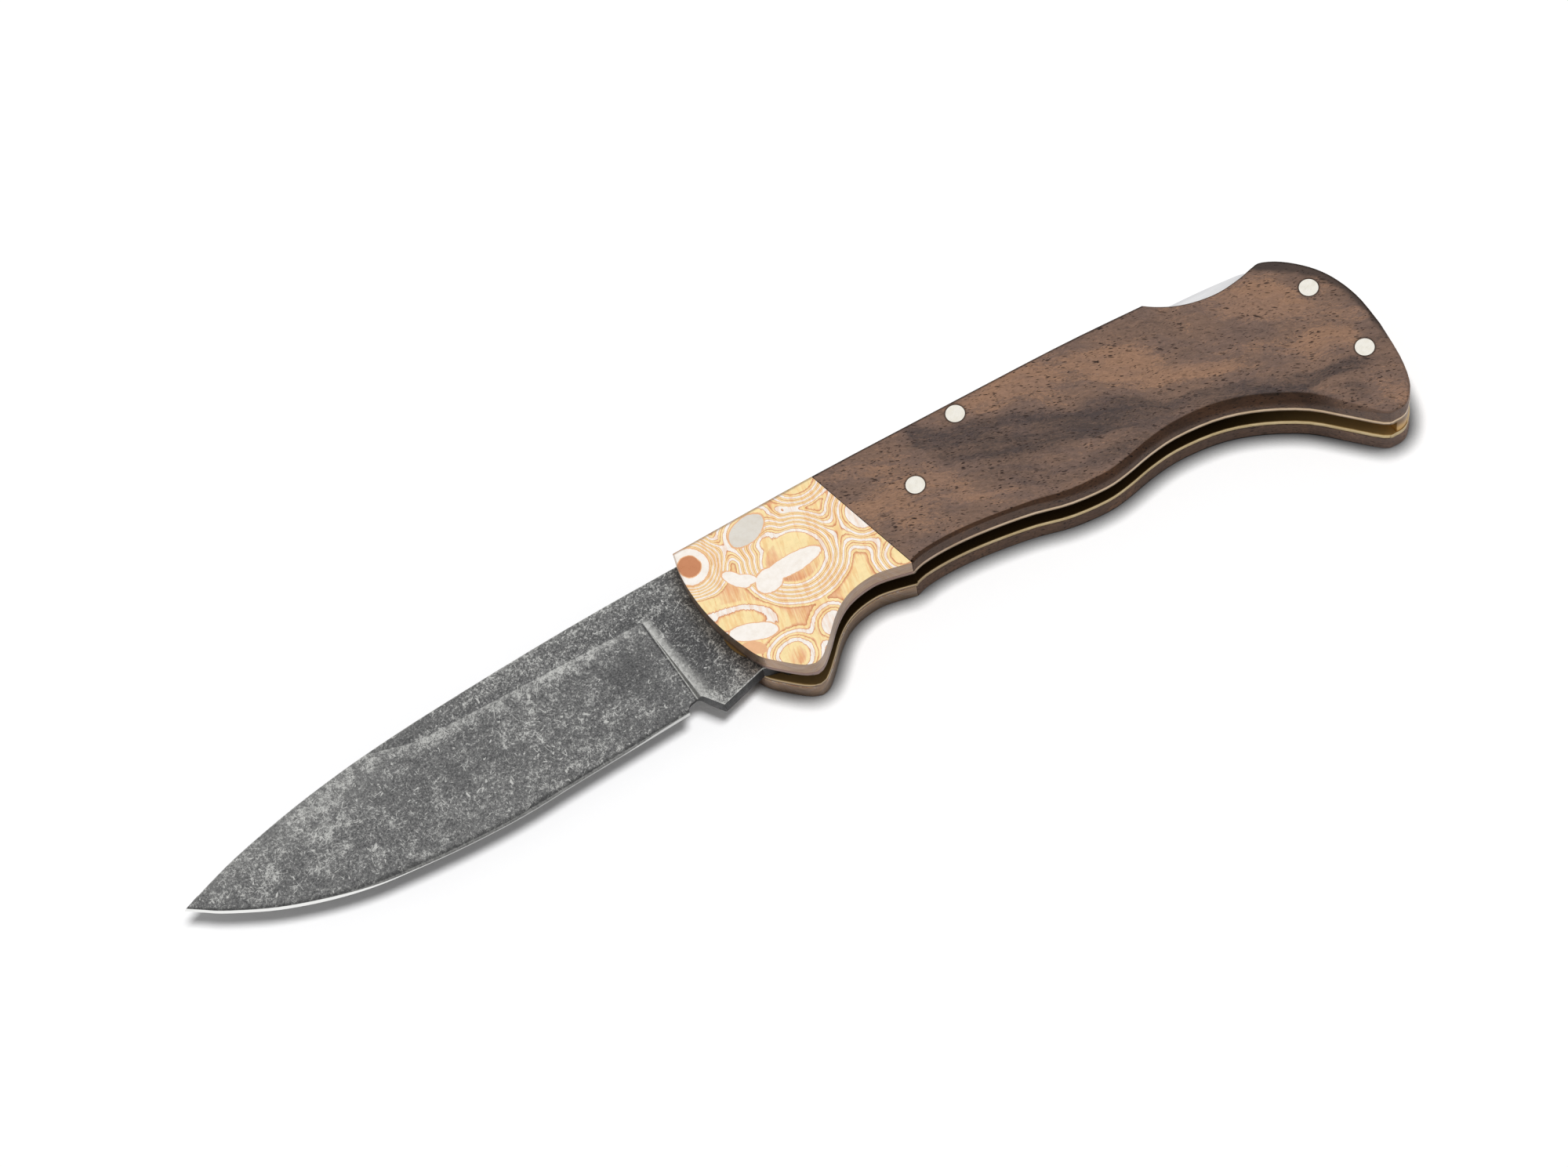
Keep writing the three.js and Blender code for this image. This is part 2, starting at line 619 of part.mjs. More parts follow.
// Block between the liners at the butt, clear of the closed blade's tip
function buttSpacer() {
  const inner = BUTT_REACH - LOCK_BAR_END_INSET + SPACER_REACH;
  const face = BLADE_REACH + SPACER_REACH;
  const region = polygonPlate(
    [
      [inner, FAR],
      [inner, LEAF_ROOT_Y - 3 * LEAF_THICKNESS],
      [face, TIP_Y + 1],
      [face, 6 - LOBE_DROP],
      [face + SPACER_FOOT - 1, -LOBE_DROP - 1],
      [FAR, -LOBE_DROP - 1],
      [FAR, FAR],
    ],
    CHANNEL_Z - OVERSHOOT,
    FRONT_LINER_Z + OVERSHOOT,
  );
  const ring = insetRing(HANDLE_OUTLINE, HANDLE_OUTLINE.map(() => SPACER_INSET));
  const body = polygonPlate(ring.map((p) => [p.x, p.y]), CHANNEL_Z, FRONT_LINER_Z);
  const slot = plate(leafShape(SEAT_CLEARANCE), CHANNEL_Z - OVERSHOOT, FRONT_LINER_Z + OVERSHOOT);
  return body.intersect(region).subtract(slot).subtract(throughHoles());
}

const metal = (color, roughness) => new THREE.MeshStandardMaterial({ color, roughness, metalness: 1 });
const wood = () => new THREE.MeshStandardMaterial({ color: 0x6b5241, roughness: 0.55, metalness: 0 });
const layeredMetal = () => metal(0xe8c79a, 0.35);
const brass = () => metal(0xb59a52, 0.4);
const nickelSilver = () => metal(0xe6e2d8, 0.25);
const bladeSteel = () => metal(0x5c5c5c, 0.5);
const brightSteel = () => metal(0xb9babc, 0.3);

const group = new THREE.Group();

function addPart(name, solid, material) {
  const data = solid.getMesh();
  const geometry = new THREE.BufferGeometry();
  geometry.setAttribute("position", new THREE.BufferAttribute(data.vertProperties, 3));
  geometry.setIndex(new THREE.BufferAttribute(data.triVerts, 1));
  const flat = geometry.toNonIndexed();
  flat.computeVertexNormals();
  const mesh = new THREE.Mesh(flat, material);
  mesh.name = name;
  group.add(mesh);
}

const pivotPinEnd = FRONT_COVER_Z + PIVOT_PIN_SINK;

addPart("front_scale", scale(1), wood());
addPart("rear_scale", scale(-1), wood());
addPart("front_bolster", bolster(1), layeredMetal());
addPart("rear_bolster", bolster(-1), layeredMetal());
addPart("front_liner", liner(FRONT_LINER_Z), brass());
addPart("rear_liner", liner(REAR_LINER_Z), brass());
addPart("butt_spacer", buttSpacer(), brass());
addPart("lock_spring", lockSpring(), brightSteel());
addPart(
  "blade_pivot_pin",
  rod(0, 0, PIVOT_PIN_RADIUS, HANDLE_THICKNESS - pivotPinEnd, pivotPinEnd, PIVOT_SIDES),
  nickelSilver(),
);
THROUGH_PINS.forEach(({ name, x, y }) => {
  addPart(name, rod(x, y, PIN_RADIUS, 0, HANDLE_THICKNESS), nickelSilver());
});
for (const [name, side] of [["front", 1], ["rear", -1]]) {
  addPart(`${name}_scale_rivet`, rivet(side), nickelSilver());
  BOLSTER_DOWELS.forEach((place, i) => {
    addPart(`${name}_bolster_dowel_${i + 1}`, dowel(place, side), brightSteel());
  });
}
addPart("front_pivot_washer", washer(FRONT_LINER_Z - WASHER_THICKNESS), brass());
addPart("rear_pivot_washer", washer(CHANNEL_Z), brass());
addPart("blade", blade(), bladeSteel());
addPart("lock_bar", lockBar(), brightSteel());

export default group;
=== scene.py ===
"""Folding pocket knife with a rocking lock bar: the finished look of the knife and a plain stage for it."""
import json
from math import pi, radians

import bmesh
import bpy
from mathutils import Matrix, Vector


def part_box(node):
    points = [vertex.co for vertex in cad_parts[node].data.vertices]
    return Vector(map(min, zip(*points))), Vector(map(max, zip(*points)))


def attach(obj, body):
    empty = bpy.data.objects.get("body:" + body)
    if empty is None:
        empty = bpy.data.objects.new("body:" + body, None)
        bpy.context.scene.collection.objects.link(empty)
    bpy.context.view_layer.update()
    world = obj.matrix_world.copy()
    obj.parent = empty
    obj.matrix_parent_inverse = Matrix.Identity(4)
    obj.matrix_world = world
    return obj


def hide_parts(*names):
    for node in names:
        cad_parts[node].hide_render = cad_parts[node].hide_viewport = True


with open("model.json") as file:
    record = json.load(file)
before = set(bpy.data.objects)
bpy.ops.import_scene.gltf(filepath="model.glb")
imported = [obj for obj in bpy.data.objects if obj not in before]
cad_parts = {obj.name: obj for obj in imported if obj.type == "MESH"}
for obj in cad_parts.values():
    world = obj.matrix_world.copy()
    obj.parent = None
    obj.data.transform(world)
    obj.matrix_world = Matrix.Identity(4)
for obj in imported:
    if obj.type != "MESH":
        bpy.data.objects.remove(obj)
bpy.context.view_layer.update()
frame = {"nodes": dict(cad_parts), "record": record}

bl_info = {
    "name": "Folding Pocket Knife",
    "version": (1, 0, 0),
    "blender": (4, 5, 0),
    "location": "3D View > Sidebar > Pocket Knife",
    "description": "Gives the pieces of a folding pocket knife their finished shape and surface",
    "category": "Object",
}

MM = 0.001

# Solids: vertices nearer than this are one, and faces that meet at less than the flat angle are joined.
# Edges are broken from the corner's angle on, and edges of the blade stay sharp from the crease's angle on
MERGE_DISTANCE = 0.001 * MM
FLAT_ANGLE = radians(0.4)
CORNER_ANGLE = radians(38)
CREASE_ANGLE = radians(2)
FLAT_FACE_WEIGHT = 60
ROUND_STEPS = 3
PIN_SIDES = 72
# Upright part of a normal: less than the first in a wall, more than the second in a face of the blade
WALL_NORMAL = 0.5
FACE_NORMAL = 0.6
# Largest facet of a liner's holes, and the half thickness in millimetres up to which it is the cutting edge
HOLE_FACET = 0.62 * MM * MM
CUTTING_HALF = 0.45

# Stage: the floor's size and its gap under the knife, and the painted contact shadow where the handle
# touches the paper
FLOOR_SIZE = 8
FLOOR_GAP = 0.02 * MM
FLOOR_BOUNCE = (0.8, 0.8, 0.8)
PAPER = (0.96, 0.96, 0.965)
PAPER_LIFT = 0.07
CONTACT_REACH = 2.9 * MM
CONTACT_DEPTH = 3.2
KEY_DIRECTION = Vector((0.15, -0.15, 1.0)).normalized()
CAMERA_NEAR = 10 * MM

# Pins that end flush in the wood, and the others
FLUSH_PINS = ("lock_bar_pin", "butt_pin_upper", "butt_pin_lower", "front_scale_rivet")
PINS = (*FLUSH_PINS, "rear_scale_rivet", "blade_pivot_pin", "front_bolster_dowel_1", "front_bolster_dowel_2",
        "rear_bolster_dowel_1", "rear_bolster_dowel_2")

# Heights and places that the materials follow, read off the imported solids, in millimetres
HANDLE_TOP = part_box("front_scale")[1].z / MM
BUTT_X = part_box("front_scale")[1].x / MM
MIDDLE_Z = HANDLE_TOP / 2
SPINE_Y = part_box("front_scale")[1].y / MM
FRONT_LINER_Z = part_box("front_liner")[0].z / MM
REAR_LINER_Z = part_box("rear_liner")[1].z / MM

# Blade, in millimetres from the pivot
RICASSO_GRIND_Y = 9.3
PLUNGE_TOP_X = -15.7
PLUNGE_SLANT = 0.0946
GRIND_RISE_FROM = -52
GRIND_RISE_TO = -72
GRIND_RISE = 4.2

# Wood: the grain falls this much from the spine's direction towards the butt
GRAIN_TURN = radians(-22)
# Seam round a pin: how far past the pin it ends and starts, in millimetres
SEAM_REACH = (0.34, 0.1)
# Reach in millimetres that takes in the whole thickness of the knife
ENDLESS = 10000.0


def srgb(red, green, blue):
    """Linear colour of a screen colour given in steps of 255."""
    shares = (value / 255 for value in (red, green, blue))
    return tuple(s / 12.92 if s <= 0.04045 else ((s + 0.055) / 1.055) ** 2.4 for s in shares)


def colour_property(name, description, default):
    return bpy.props.FloatVectorProperty(
        name=name, description=description, default=default, size=3, min=0, max=1, subtype="COLOR")


def length_property(name, description, default):
    return bpy.props.FloatProperty(
        name=name, description=description, default=default, min=0, subtype="DISTANCE", unit="LENGTH")


class KnifeFinish(bpy.types.PropertyGroup):
    """Colours of the knife's woods and metals."""
    wood_light: colour_property("Light wood", "Warm parts of the walnut", srgb(147, 115, 94))
    wood_middle: colour_property("Middle wood", "Main brown of the walnut", srgb(121, 98, 85))
    wood_dark: colour_property("Dark wood", "Grey brown bands of the walnut", srgb(77, 66, 62))
    wood_sapwood: colour_property("Sapwood", "Dark rim of the scales at the butt", srgb(66, 57, 53))
    wood_pore: colour_property("Pores", "Open pores of the walnut", srgb(38, 27, 23))
    pale_layer: colour_property("Pale layer", "Nickel silver in the layered metal", srgb(252, 246, 239))
    yellow_layer: colour_property("Yellow layer", "Brass in the layered metal", srgb(254, 232, 178))
    orange_layer: colour_property("Orange layer", "Pale copper in the layered metal", srgb(240, 190, 148))
    copper_layer: colour_property("Copper layer", "Solid copper in the layered metal", srgb(206, 142, 105))
    silver_layer: colour_property("Silver layer", "Greyer nickel silver in one dimple", srgb(226, 221, 212))
    patina: colour_property("Patina", "Tarnish on the bolsters' side walls", srgb(144, 121, 103))
    brass: colour_property("Brass", "Edges of the liners", srgb(204, 184, 142))
    # Painted shade of the channel on the liners' inner faces, and the dark of the brass's brushing lines
    dark_brass_and_channel_shade: colour_property("Brass inside", "Dull faces between the liners", srgb(62, 46, 26))
    blade_dark: colour_property("Blade", "Tumbled grey of the blade", srgb(80, 80, 81))
    blade_middle: colour_property("Blade ground", "Lighter grey of the tumbled finish", srgb(138, 138, 137))
    blade_scuff: colour_property("Blade scuffs", "Light specks and scratches", srgb(206, 206, 202))
    blade_edge: colour_property("Cutting edge", "Bright bevel of the cutting edge", srgb(240, 240, 238))
    lock_steel: colour_property("Lock bar", "Satin steel of the lock bar", srgb(230, 230, 231))
    spring_steel: colour_property("Spring steel", "Leaf spring and dowels", srgb(150, 150, 152))
    pin_metal: colour_property("Pins", "Ground ends of the pins", srgb(244, 240, 230))


class KnifeSizes(bpy.types.PropertyGroup):
    """How far the edges of each kind of piece are broken."""
    metal_edge: length_property("Metal edges", "Broken edge of bolsters and spacer", 0.05 * MM)
    wood_edge: length_property("Wood edges", "Broken edge of the scales", 0.06 * MM)
    liner_edge: length_property("Liner edges", "Rounded edge of the liners", 0.22 * MM)
    blade_edge: length_property("Blade edges", "Broken edge of the blade's spine and tang", 0.16 * MM)
    lock_edge: length_property("Lock bar edges", "Broken edge of the lock bar", 0.16 * MM)
    pin_rim: length_property("Pin rims", "Broken rim of the pins", 0.07 * MM)


class KnifeStage(bpy.types.PropertyGroup):
    """Camera and light."""
    lens: bpy.props.FloatProperty(
        name="Focal length", description="Lens of the camera", default=100, min=1, unit="CAMERA")
    camera_place: bpy.props.FloatVectorProperty(
        name="Camera place", description="Place of the camera", subtype="TRANSLATION", unit="LENGTH",
        default=(-72.66 * MM, -289.08 * MM, 599.5 * MM))
    camera_turn: bpy.props.FloatVectorProperty(
        name="Camera turn", description="Turn of the camera", subtype="EULER",
        default=(radians(26.379), radians(6.540), radians(-27.956)))
    key_level: bpy.props.FloatProperty(
        name="Key light", description="Light of the key lamp on a level surface", default=0.78, min=0)
    sky_level: bpy.props.FloatProperty(
        name="Sky", description="Light of the surroundings on a level surface", default=0.22, min=0)
    key_softness: bpy.props.FloatProperty(
        name="Key softness", description="Width of the key lamp as seen from the knife",
        default=radians(17), min=0, subtype="ANGLE")


class Nodes:
    """Adds nodes to one node tree. A value is a number, a vector, a colour or another node's output."""

    def __init__(self, tree):
        self.tree = tree

    def put(self, socket, value):
        if isinstance(value, bpy.types.NodeSocket):
            self.tree.links.new(value, socket)
            return
        if socket.type == "RGBA" and len(value) == 3:
            value = (*value, 1)
        socket.default_value = value

    def add(self, kind, inputs, **settings):
        node = self.tree.nodes.new("ShaderNode" + kind)
        for name, value in settings.items():
            setattr(node, name, value)
        for key, value in inputs.items():
            self.put(node.inputs[key], value)
        return node

    def math(self, operation, *values):
        return self.add("Math", dict(enumerate(values)), operation=operation).outputs[0]

    def fold(self, operation, values):
        """One operation over several numbers, from the first to the last."""
        result, *others = values
        for value in others:
            result = self.math(operation, result, value)
        return result

    def times(self, *values):
        return self.fold("MULTIPLY", values)

    def most(self, *values):
        return self.fold("MAXIMUM", values)

    def minus(self, value, less):
        return self.math("SUBTRACT", value, less)

    def vector(self, operation, *values):
        node = self.add("VectorMath", dict(enumerate(values)), operation=operation)
        return node.outputs["Value" if operation == "LENGTH" else "Vector"]

    def split(self, value):
        return self.add("SeparateXYZ", {0: value}).outputs

    def join(self, x, y, z):
        return self.add("CombineXYZ", {0: x, 1: y, 2: z}).outputs[0]

    def mix(self, amount, first, second, blend="MIX"):
        """Colour between two colours."""
        inputs = {0: amount, 6: first, 7: second}
        return self.add("Mix", inputs, data_type="RGBA", blend_type=blend).outputs[2]

    def tint(self, colour, by, amount=1.0):
        """Colour multiplied by another as far as the amount says."""
        return self.mix(amount, colour, by, "MULTIPLY")

    def between(self, amount, first, second):
        """Number between two numbers."""
        return self.add("Mix", {0: amount, 2: first, 3: second}, data_type="FLOAT").outputs[0]

    def remap(self, value, low, high, to_low=0.0, to_high=1.0, smooth=True):
        kind = "SMOOTHSTEP" if smooth else "LINEAR"
        inputs = {0: value, 1: low, 2: high, 3: to_low, 4: to_high}
        return self.add("MapRange", inputs, interpolation_type=kind).outputs[0]

    def noise(self, place, scale, detail=2.0, roughness=0.5):
        inputs = {"Vector": place, "Scale": scale, "Detail": detail, "Roughness": roughness}
        return self.add("TexNoise", inputs).outputs["Fac"]

    def drawn(self, place, waves, detail, roughness):
        """Noise with its own number of waves per millimetre along each axis."""
        return self.noise(self.vector("MULTIPLY", place, waves), 1.0, detail, roughness)

    def noise_vector(self, place, scale, detail=2.0):
        """Three unlike noises from -0.5 to 0.5."""
        inputs = {"Vector": place, "Scale": scale, "Detail": detail}
        return self.vector("SUBTRACT", self.add("TexNoise", inputs).outputs["Color"], (0.5, 0.5, 0.5))

    def turn(self, place, angle):
        """Place seen in axes that are turned about Z by an angle."""
        inputs = {"Vector": place, "Angle": self.times(angle, -1.0)}
        return self.add("VectorRotate", inputs, rotation_type="Z_AXIS").outputs[0]

    def ramp(self, value, stops):
        node = self.add("ValToRGB", {0: value})
        band = node.color_ramp
        while len(band.elements) < len(stops):
            band.elements.new(1)
        for element, (position, colour) in zip(band.elements, stops):
            element.position = position
            element.color = (*colour, 1)
        return node.outputs[0]

    def group(self, tree, **inputs):
        node = self.add("Group", {}, node_tree=tree)
        for name, value in inputs.items():
            self.put(node.inputs[name.replace("_", " ").capitalize()], value)
        return node.outputs[0]


SOCKETS = {"number": "NodeSocketFloat", "vector": "NodeSocketVector"}


def node_group(name, inputs, output):
    """A shader node group with one number as its output: its nodes, its inputs and the output's socket."""
    tree = bpy.data.node_groups.new(name, "ShaderNodeTree")
    for label, kind in inputs:
        tree.interface.new_socket(name=label, in_out="INPUT", socket_type=SOCKETS[kind])
    tree.interface.new_socket(name=output, in_out="OUTPUT", socket_type=SOCKETS["number"])
    n = Nodes(tree)
    given = tree.nodes.new("NodeGroupInput").outputs
    result = tree.nodes.new("NodeGroupOutput")
    return n, given, result.inputs[0]


def soft_oval_group():
    """One inside a flat oval, falling smoothly to nothing at its reach."""
    inputs = [("Place", "vector"), ("Centre", "vector"), ("Turn", "number"), ("Reach", "vector"),
              ("Flat", "number")]
    n, given, result = node_group("Soft oval", inputs, "Amount")
    local = n.turn(n.vector("SUBTRACT", given["Place"], given["Centre"]), given["Turn"])
    distance = n.vector("LENGTH", n.vector("DIVIDE", local, given["Reach"]))
    n.put(result, n.remap(distance, given["Flat"], 1.0, 1.0, 0.0))
    return n.tree


def dashes_group():
    """Scattered short dashes along one direction, one in each of a share of the cells."""
    inputs = [("Place", "vector"), ("Turn", "number"), ("Cell", "vector"), ("Share", "number"),
              ("Thickness", "number")]
    n, given, result = node_group("Scattered dashes", inputs, "Amount")
    local = n.vector("DIVIDE", n.turn(given["Place"], given["Turn"]), given["Cell"])
    cells = n.add("TexVoronoi", {"Vector": local, "Scale": 1.0, "Randomness": 1.0}, feature="F1")
    dice = n.split(cells.outputs["Color"])
    used = n.math("LESS_THAN", dice[0], given["Share"])
    size = n.times(given["Thickness"], n.remap(dice[1], 0.0, 1.0, 0.5, 1.0, smooth=False))
    body = n.remap(cells.outputs["Distance"], n.times(size, 0.5), size, 1.0, 0.0)
    n.put(result, n.times(used, body))
    return n.tree


def edge_group():
    """How far a surface is turned between level and upright: nothing on either, one halfway."""
    n, given, result = node_group("Broken edge", [("Normal", "vector")], "Amount")
    height = n.split(given["Normal"])[2]
    square = n.times(height, height)
    n.put(result, n.times(square, n.minus(1.0, square), 4.0))
    return n.tree


def brushing_group():
    """Fine lines along one direction, from -0.5 to 0.5."""
    inputs = [("Place", "vector"), ("Turn", "number"), ("Stretch", "vector")]
    n, given, result = node_group("Brushing", inputs, "Lines")
    lines = n.drawn(n.turn(given["Place"], given["Turn"]), given["Stretch"], 3.0, 0.6)
    n.put(result, n.minus(lines, 0.5))
    return n.tree


GROUP_MAKERS = {
    "Soft oval": soft_oval_group,
    "Scattered dashes": dashes_group,
    "Broken edge": edge_group,
    "Brushing": brushing_group,
}


def shared_group(name):
    return bpy.data.node_groups.get(name) or GROUP_MAKERS[name]()


class Surface:
    """A new material with its nodes, the place on the piece in millimetres, and the piece's own normal."""

    def __init__(self, name):
        self.material = bpy.data.materials.new(name)
        self.material.use_nodes = True
        tree = self.material.node_tree
        self.shader = tree.nodes["Principled BSDF"]
        self.n = Nodes(tree)
        given = self.n.add("TexCoord", {}).outputs
        self.place = self.n.vector("MULTIPLY", given["Object"], (1 / MM,) * 3)
        self.normal = given["Normal"]
        self.x, self.y, self.z = self.n.split(self.place)

    def level(self):
        """One on faces that lie flat and nothing on upright walls."""
        return self.n.math("ABSOLUTE", self.n.split(self.normal)[2])

    def from_axis(self, x, y):
        """Distance in millimetres from the upright axis through a place."""
        flat = self.n.join(self.x, self.y, 0.0)
        return self.n.vector("LENGTH", self.n.vector("SUBTRACT", flat, (x, y, 0.0)))

    def oval(self, place, centre, turn, reach, flat):
        """Soft oval about a place in the knife's plane, through its whole thickness."""
        return self.n.group(
            shared_group("Soft oval"), place=place, centre=(*centre, 0), turn=radians(turn),
            reach=(*reach, ENDLESS), flat=flat)

    def ovals(self, place, rows):
        """Sum of soft ovals, with each oval's strength at the end of its row."""
        return self.sum([(self.oval(place, *row[:4]), row[4]) for row in rows])

    def dashes(self, turn, cell, share, thickness):
        return self.n.group(
            shared_group("Scattered dashes"), place=self.place, turn=turn, cell=cell, share=share,
            thickness=thickness)

    def edge(self):
        return self.n.group(shared_group("Broken edge"), normal=self.normal)

    def spine_shade_rim(self):
        """Where painted shade lies along the spine: the last half millimetre of the flat faces, which drops
        a little at both ends.
        """
        n = self.n
        drop = n.math("ADD", n.remap(self.x, 22, -7, 0.0, 0.75, smooth=False),
                      n.remap(self.x, 60, 76, 0.0, 0.6, smooth=False))
        rim = n.remap(n.math("ADD", self.y, drop), SPINE_Y - 0.55, SPINE_Y - 0.2)
        return n.times(rim, n.remap(self.x, 77, 75.5), n.remap(self.level(), 0.2, 0.6))

    def brushing(self, turn, stretch):
        return self.n.group(shared_group("Brushing"), place=self.place, turn=turn, stretch=stretch)

    def sum(self, amounts):
        """Sum of numbers, each with its weight."""
        total = 0.0
        for amount, weight in amounts:
            total = self.n.math("MULTIPLY_ADD", amount, weight, total)
        return total

    def finish(self, colour, roughness, metallic, height, bump, distance, **others):
        """Sets the shader, with the bump's distance in millimetres, and gives the material."""
        shader = self.shader
        self.n.put(shader.inputs["Base Color"], colour)
        self.n.put(shader.inputs["Roughness"], roughness)
        self.n.put(shader.inputs["Metallic"], metallic)
        for name, value in others.items():
            self.n.put(shader.inputs[name.replace("_", " ")], value)
        inputs = {"Strength": bump, "Distance": distance * MM, "Height": height}
        self.n.put(shader.inputs["Normal"], self.n.add("Bump", inputs).outputs[0])
        return self.material


# Bands in the wood: place, turn in degrees, reach along and across, flat share, strength
DARK_BANDS = [
    ((46.5, 6.8), -25, (18, 5.2), 0.5, 1.15),
    ((63, 0.6), -22, (15, 4.8), 0.45, 1.0),
    ((80, -5.2), -24, (13, 2.4), 0.3, 1.0),
    ((93.5, -10.2), -16, (13, 1.7), 0.3, 1.3),
    ((35.6, 13.0), -62, (6.0, 2.6), 0.3, 0.85),
    ((75.6, 9.4), -63, (10, 3.6), 0.3, 0.4),
    ((86, 4.5), -32, (8, 3.2), 0.2, 0.25),
    ((89.6, -11.4), -55, (7, 1.3), 0.3, 0.9),
    ((97.5, -15.6), -38, (7, 2.0), 0.2, 0.6),
    ((46, -1.0), -26, (13, 4.2), 0.3, 0.5),
    ((60, -5.0), -8, (11, 2.8), 0.2, 0.8),
    ((24, 1.0), 60, (6, 2.0), 0.2, 0.4),
    ((78, -1.5), -20, (10, 2.6), 0.2, 0.25),
]
# Dark sapwood along the butt: the round it starts from, as place, turn, reach and flat share
BUTT_ROUND = ((86.3, -3.5), 65, (18.2, 20.2), 0.86)
RIM_BANDS = [
    ((96.4, 11.4), -30, (4.4, 1.8), 0.4, 0.9),
    ((98.2, 6.4), -60, (4.5, 3.0), 0.1, 0.5),
    ((103.0, -7.0), -70, (4.0, 2.2), 0.2, 0.6),
]
LIGHT_BANDS = [
    ((28, 6), -16, (9, 9), 0.3, 0.40),
    ((67, 8.6), -34, (10, 4.8), 0.3, 0.75),
    ((52, 13.2), -12, (12, 3.0), 0.3, 0.75),
    ((92, 6), -24, (9, 6.2), 0.3, 0.75),
    ((77, 1.2), -27, (10, 2.4), 0.3, 0.75),
    ((97, -5.4), -18, (9, 3.8), 0.3, 0.6),
    ((35.5, 5.5), -60, (7, 3.0), 0.2, 0.35),
    ((38, 0.0), -25, (8, 3.4), 0.2, 0.35),
    ((100.5, -17), -34, (5, 2.4), 0.3, 0.55),
    ((91, -13.6), -55, (6, 0.9), 0.3, 0.4),
    ((98, 1.0), -30, (8, 3), 0.2, 0.4),
]
# Open pores: turn away from the grain, cell in millimetres, share of the cells and thickness
PORES = [
    (-0.06, (1.4, 0.34, 0.5), 0.42, 0.40),
    (0.10, (0.95, 0.28, 0.4), 0.38, 0.42),
    (-0.25, (2.4, 0.60, 0.8), 0.20, 0.34),
    (0.25, (0.7, 0.26, 0.3), 0.30, 0.42),
]


def walnut_material(finish):
    s = Surface("Oiled walnut")
    n = s.n
    bend = n.vector("MULTIPLY", n.noise_vector(s.place, 0.09, 1.0), (4.5, 4.5, 3))
    fine_bend = n.vector("MULTIPLY", n.noise_vector(s.place, 0.5, 2.0), (1.3, 1.3, 1))
    bent = n.vector("ADD", n.vector("ADD", s.place, bend), fine_bend)
    along = n.turn(bent, GRAIN_TURN)
    cloud = n.drawn(along, (0.06, 0.3, 0.2), 4.0, 0.6)
    dark = s.ovals(bent, DARK_BANDS)
    light = s.ovals(bent, LIGHT_BANDS)
    near = n.vector("ADD", s.place, fine_bend)
    rim = s.ovals(near, RIM_BANDS)
    # The sapwood follows the round of the butt down to the lower pin
    outside = n.minus(1.0, s.oval(near, *BUTT_ROUND))
    butt_rim = n.times(outside, n.remap(s.x, 91, 95), n.remap(s.y, -12, -5))
    dark = n.math("ADD", dark, rim)
    bands = n.minus(light, n.math("MINIMUM", dark, 1.05))
    # Growth layers, fibres and the fine chatter of the cut pores
    fibres = n.drawn(along, (0.5, 5.0, 4.0), 4.0, 0.65)
    layers = n.drawn(along, (0.10, 1.0, 0.6), 3.0, 0.6)
    chatter = n.drawn(along, (2.2, 5.5, 5.0), 3.0, 0.7)
    tone = s.sum([(cloud, 0.46), (bands, 0.29), (layers, 0.36), (fibres, 0.40), (chatter, 0.52)])
    colour = n.ramp(tone, [
        (0.50, finish.wood_dark), (0.80, finish.wood_middle), (0.89, finish.wood_middle),
        (1.14, finish.wood_light)])
    # The colour drifts towards grey and rose from place to place, with a fine figure in it
    drift = n.drawn(along, (0.12, 0.35, 0.3), 3.0, 0.6)
    colour = n.tint(colour, (0.86, 0.90, 0.98), n.remap(drift, 0.42, 0.60, 0.0, 0.8))
    figure = n.drawn(along, (0.9, 2.6, 2.5), 4.0, 0.75)
    lit = n.ramp(figure, [
        (0.34, (0.82, 0.82, 0.82)), (0.50, (1.0, 1.0, 1.0)), (0.66, (1.21, 1.20, 1.19))])
    colour = n.tint(colour, lit)
    colour = n.mix(n.remap(butt_rim, 0.05, 0.65, 0.0, 0.9), colour, finish.wood_sapwood)
    # Open pores: short dark dashes along the grain, unlike in length and depth
    pores = 0.0
    for turn, cell, share, thickness in PORES:
        pores = n.most(pores, s.dashes(GRAIN_TURN + turn, cell, share, thickness))
    depth = n.remap(n.noise(s.place, 0.28, 3.0, 0.6), 0.40, 0.60, 0.4, 1.0)
    colour = n.mix(n.times(pores, depth), colour, finish.wood_pore)
    # Painted shade, with the oil's own darkening: the rolled edge is darkened most where it leaves the flat
    # face, the walls less and the lobe least
    level = s.level()
    painted_roll_shade = n.times(n.remap(level, 0.995, 0.86), n.remap(level, 0.0, 0.4, 0.62, 1.0))
    on_lobe = n.times(n.remap(s.x, 88, 96), n.remap(s.y, -4, -9))
    painted_roll_shade = n.times(painted_roll_shade, n.remap(on_lobe, 0.0, 1.0, 1.0, 0.35))
    colour = n.tint(colour, (0.28, 0.22, 0.17), painted_roll_shade)
    # Painted shade along the spine, where the face rolls over
    colour = n.tint(colour, (0.3, 0.3, 0.32), n.times(s.spine_shade_rim(), 0.8))
    # A dark seam runs round each pin
    for node in FLUSH_PINS:
        low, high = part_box(node)
        centre = (low + high) / (2 * MM)
        radius = (high.x - low.x) / (2 * MM)
        seam = n.remap(s.from_axis(centre.x, centre.y), *(radius + reach for reach in SEAM_REACH))
        colour = n.mix(n.times(seam, 0.6), colour, finish.wood_pore)
    roughness = n.remap(fibres, 0.3, 0.7, 0.40, 0.54, smooth=False)
    roughness = n.between(painted_roll_shade, roughness, 0.75)
    height = s.sum([(pores, -1.0), (fibres, 0.2), (chatter, 0.2)])
    return s.finish(colour, roughness, 0.0, height, 0.5, 0.05, Specular_IOR_Level=0.16)


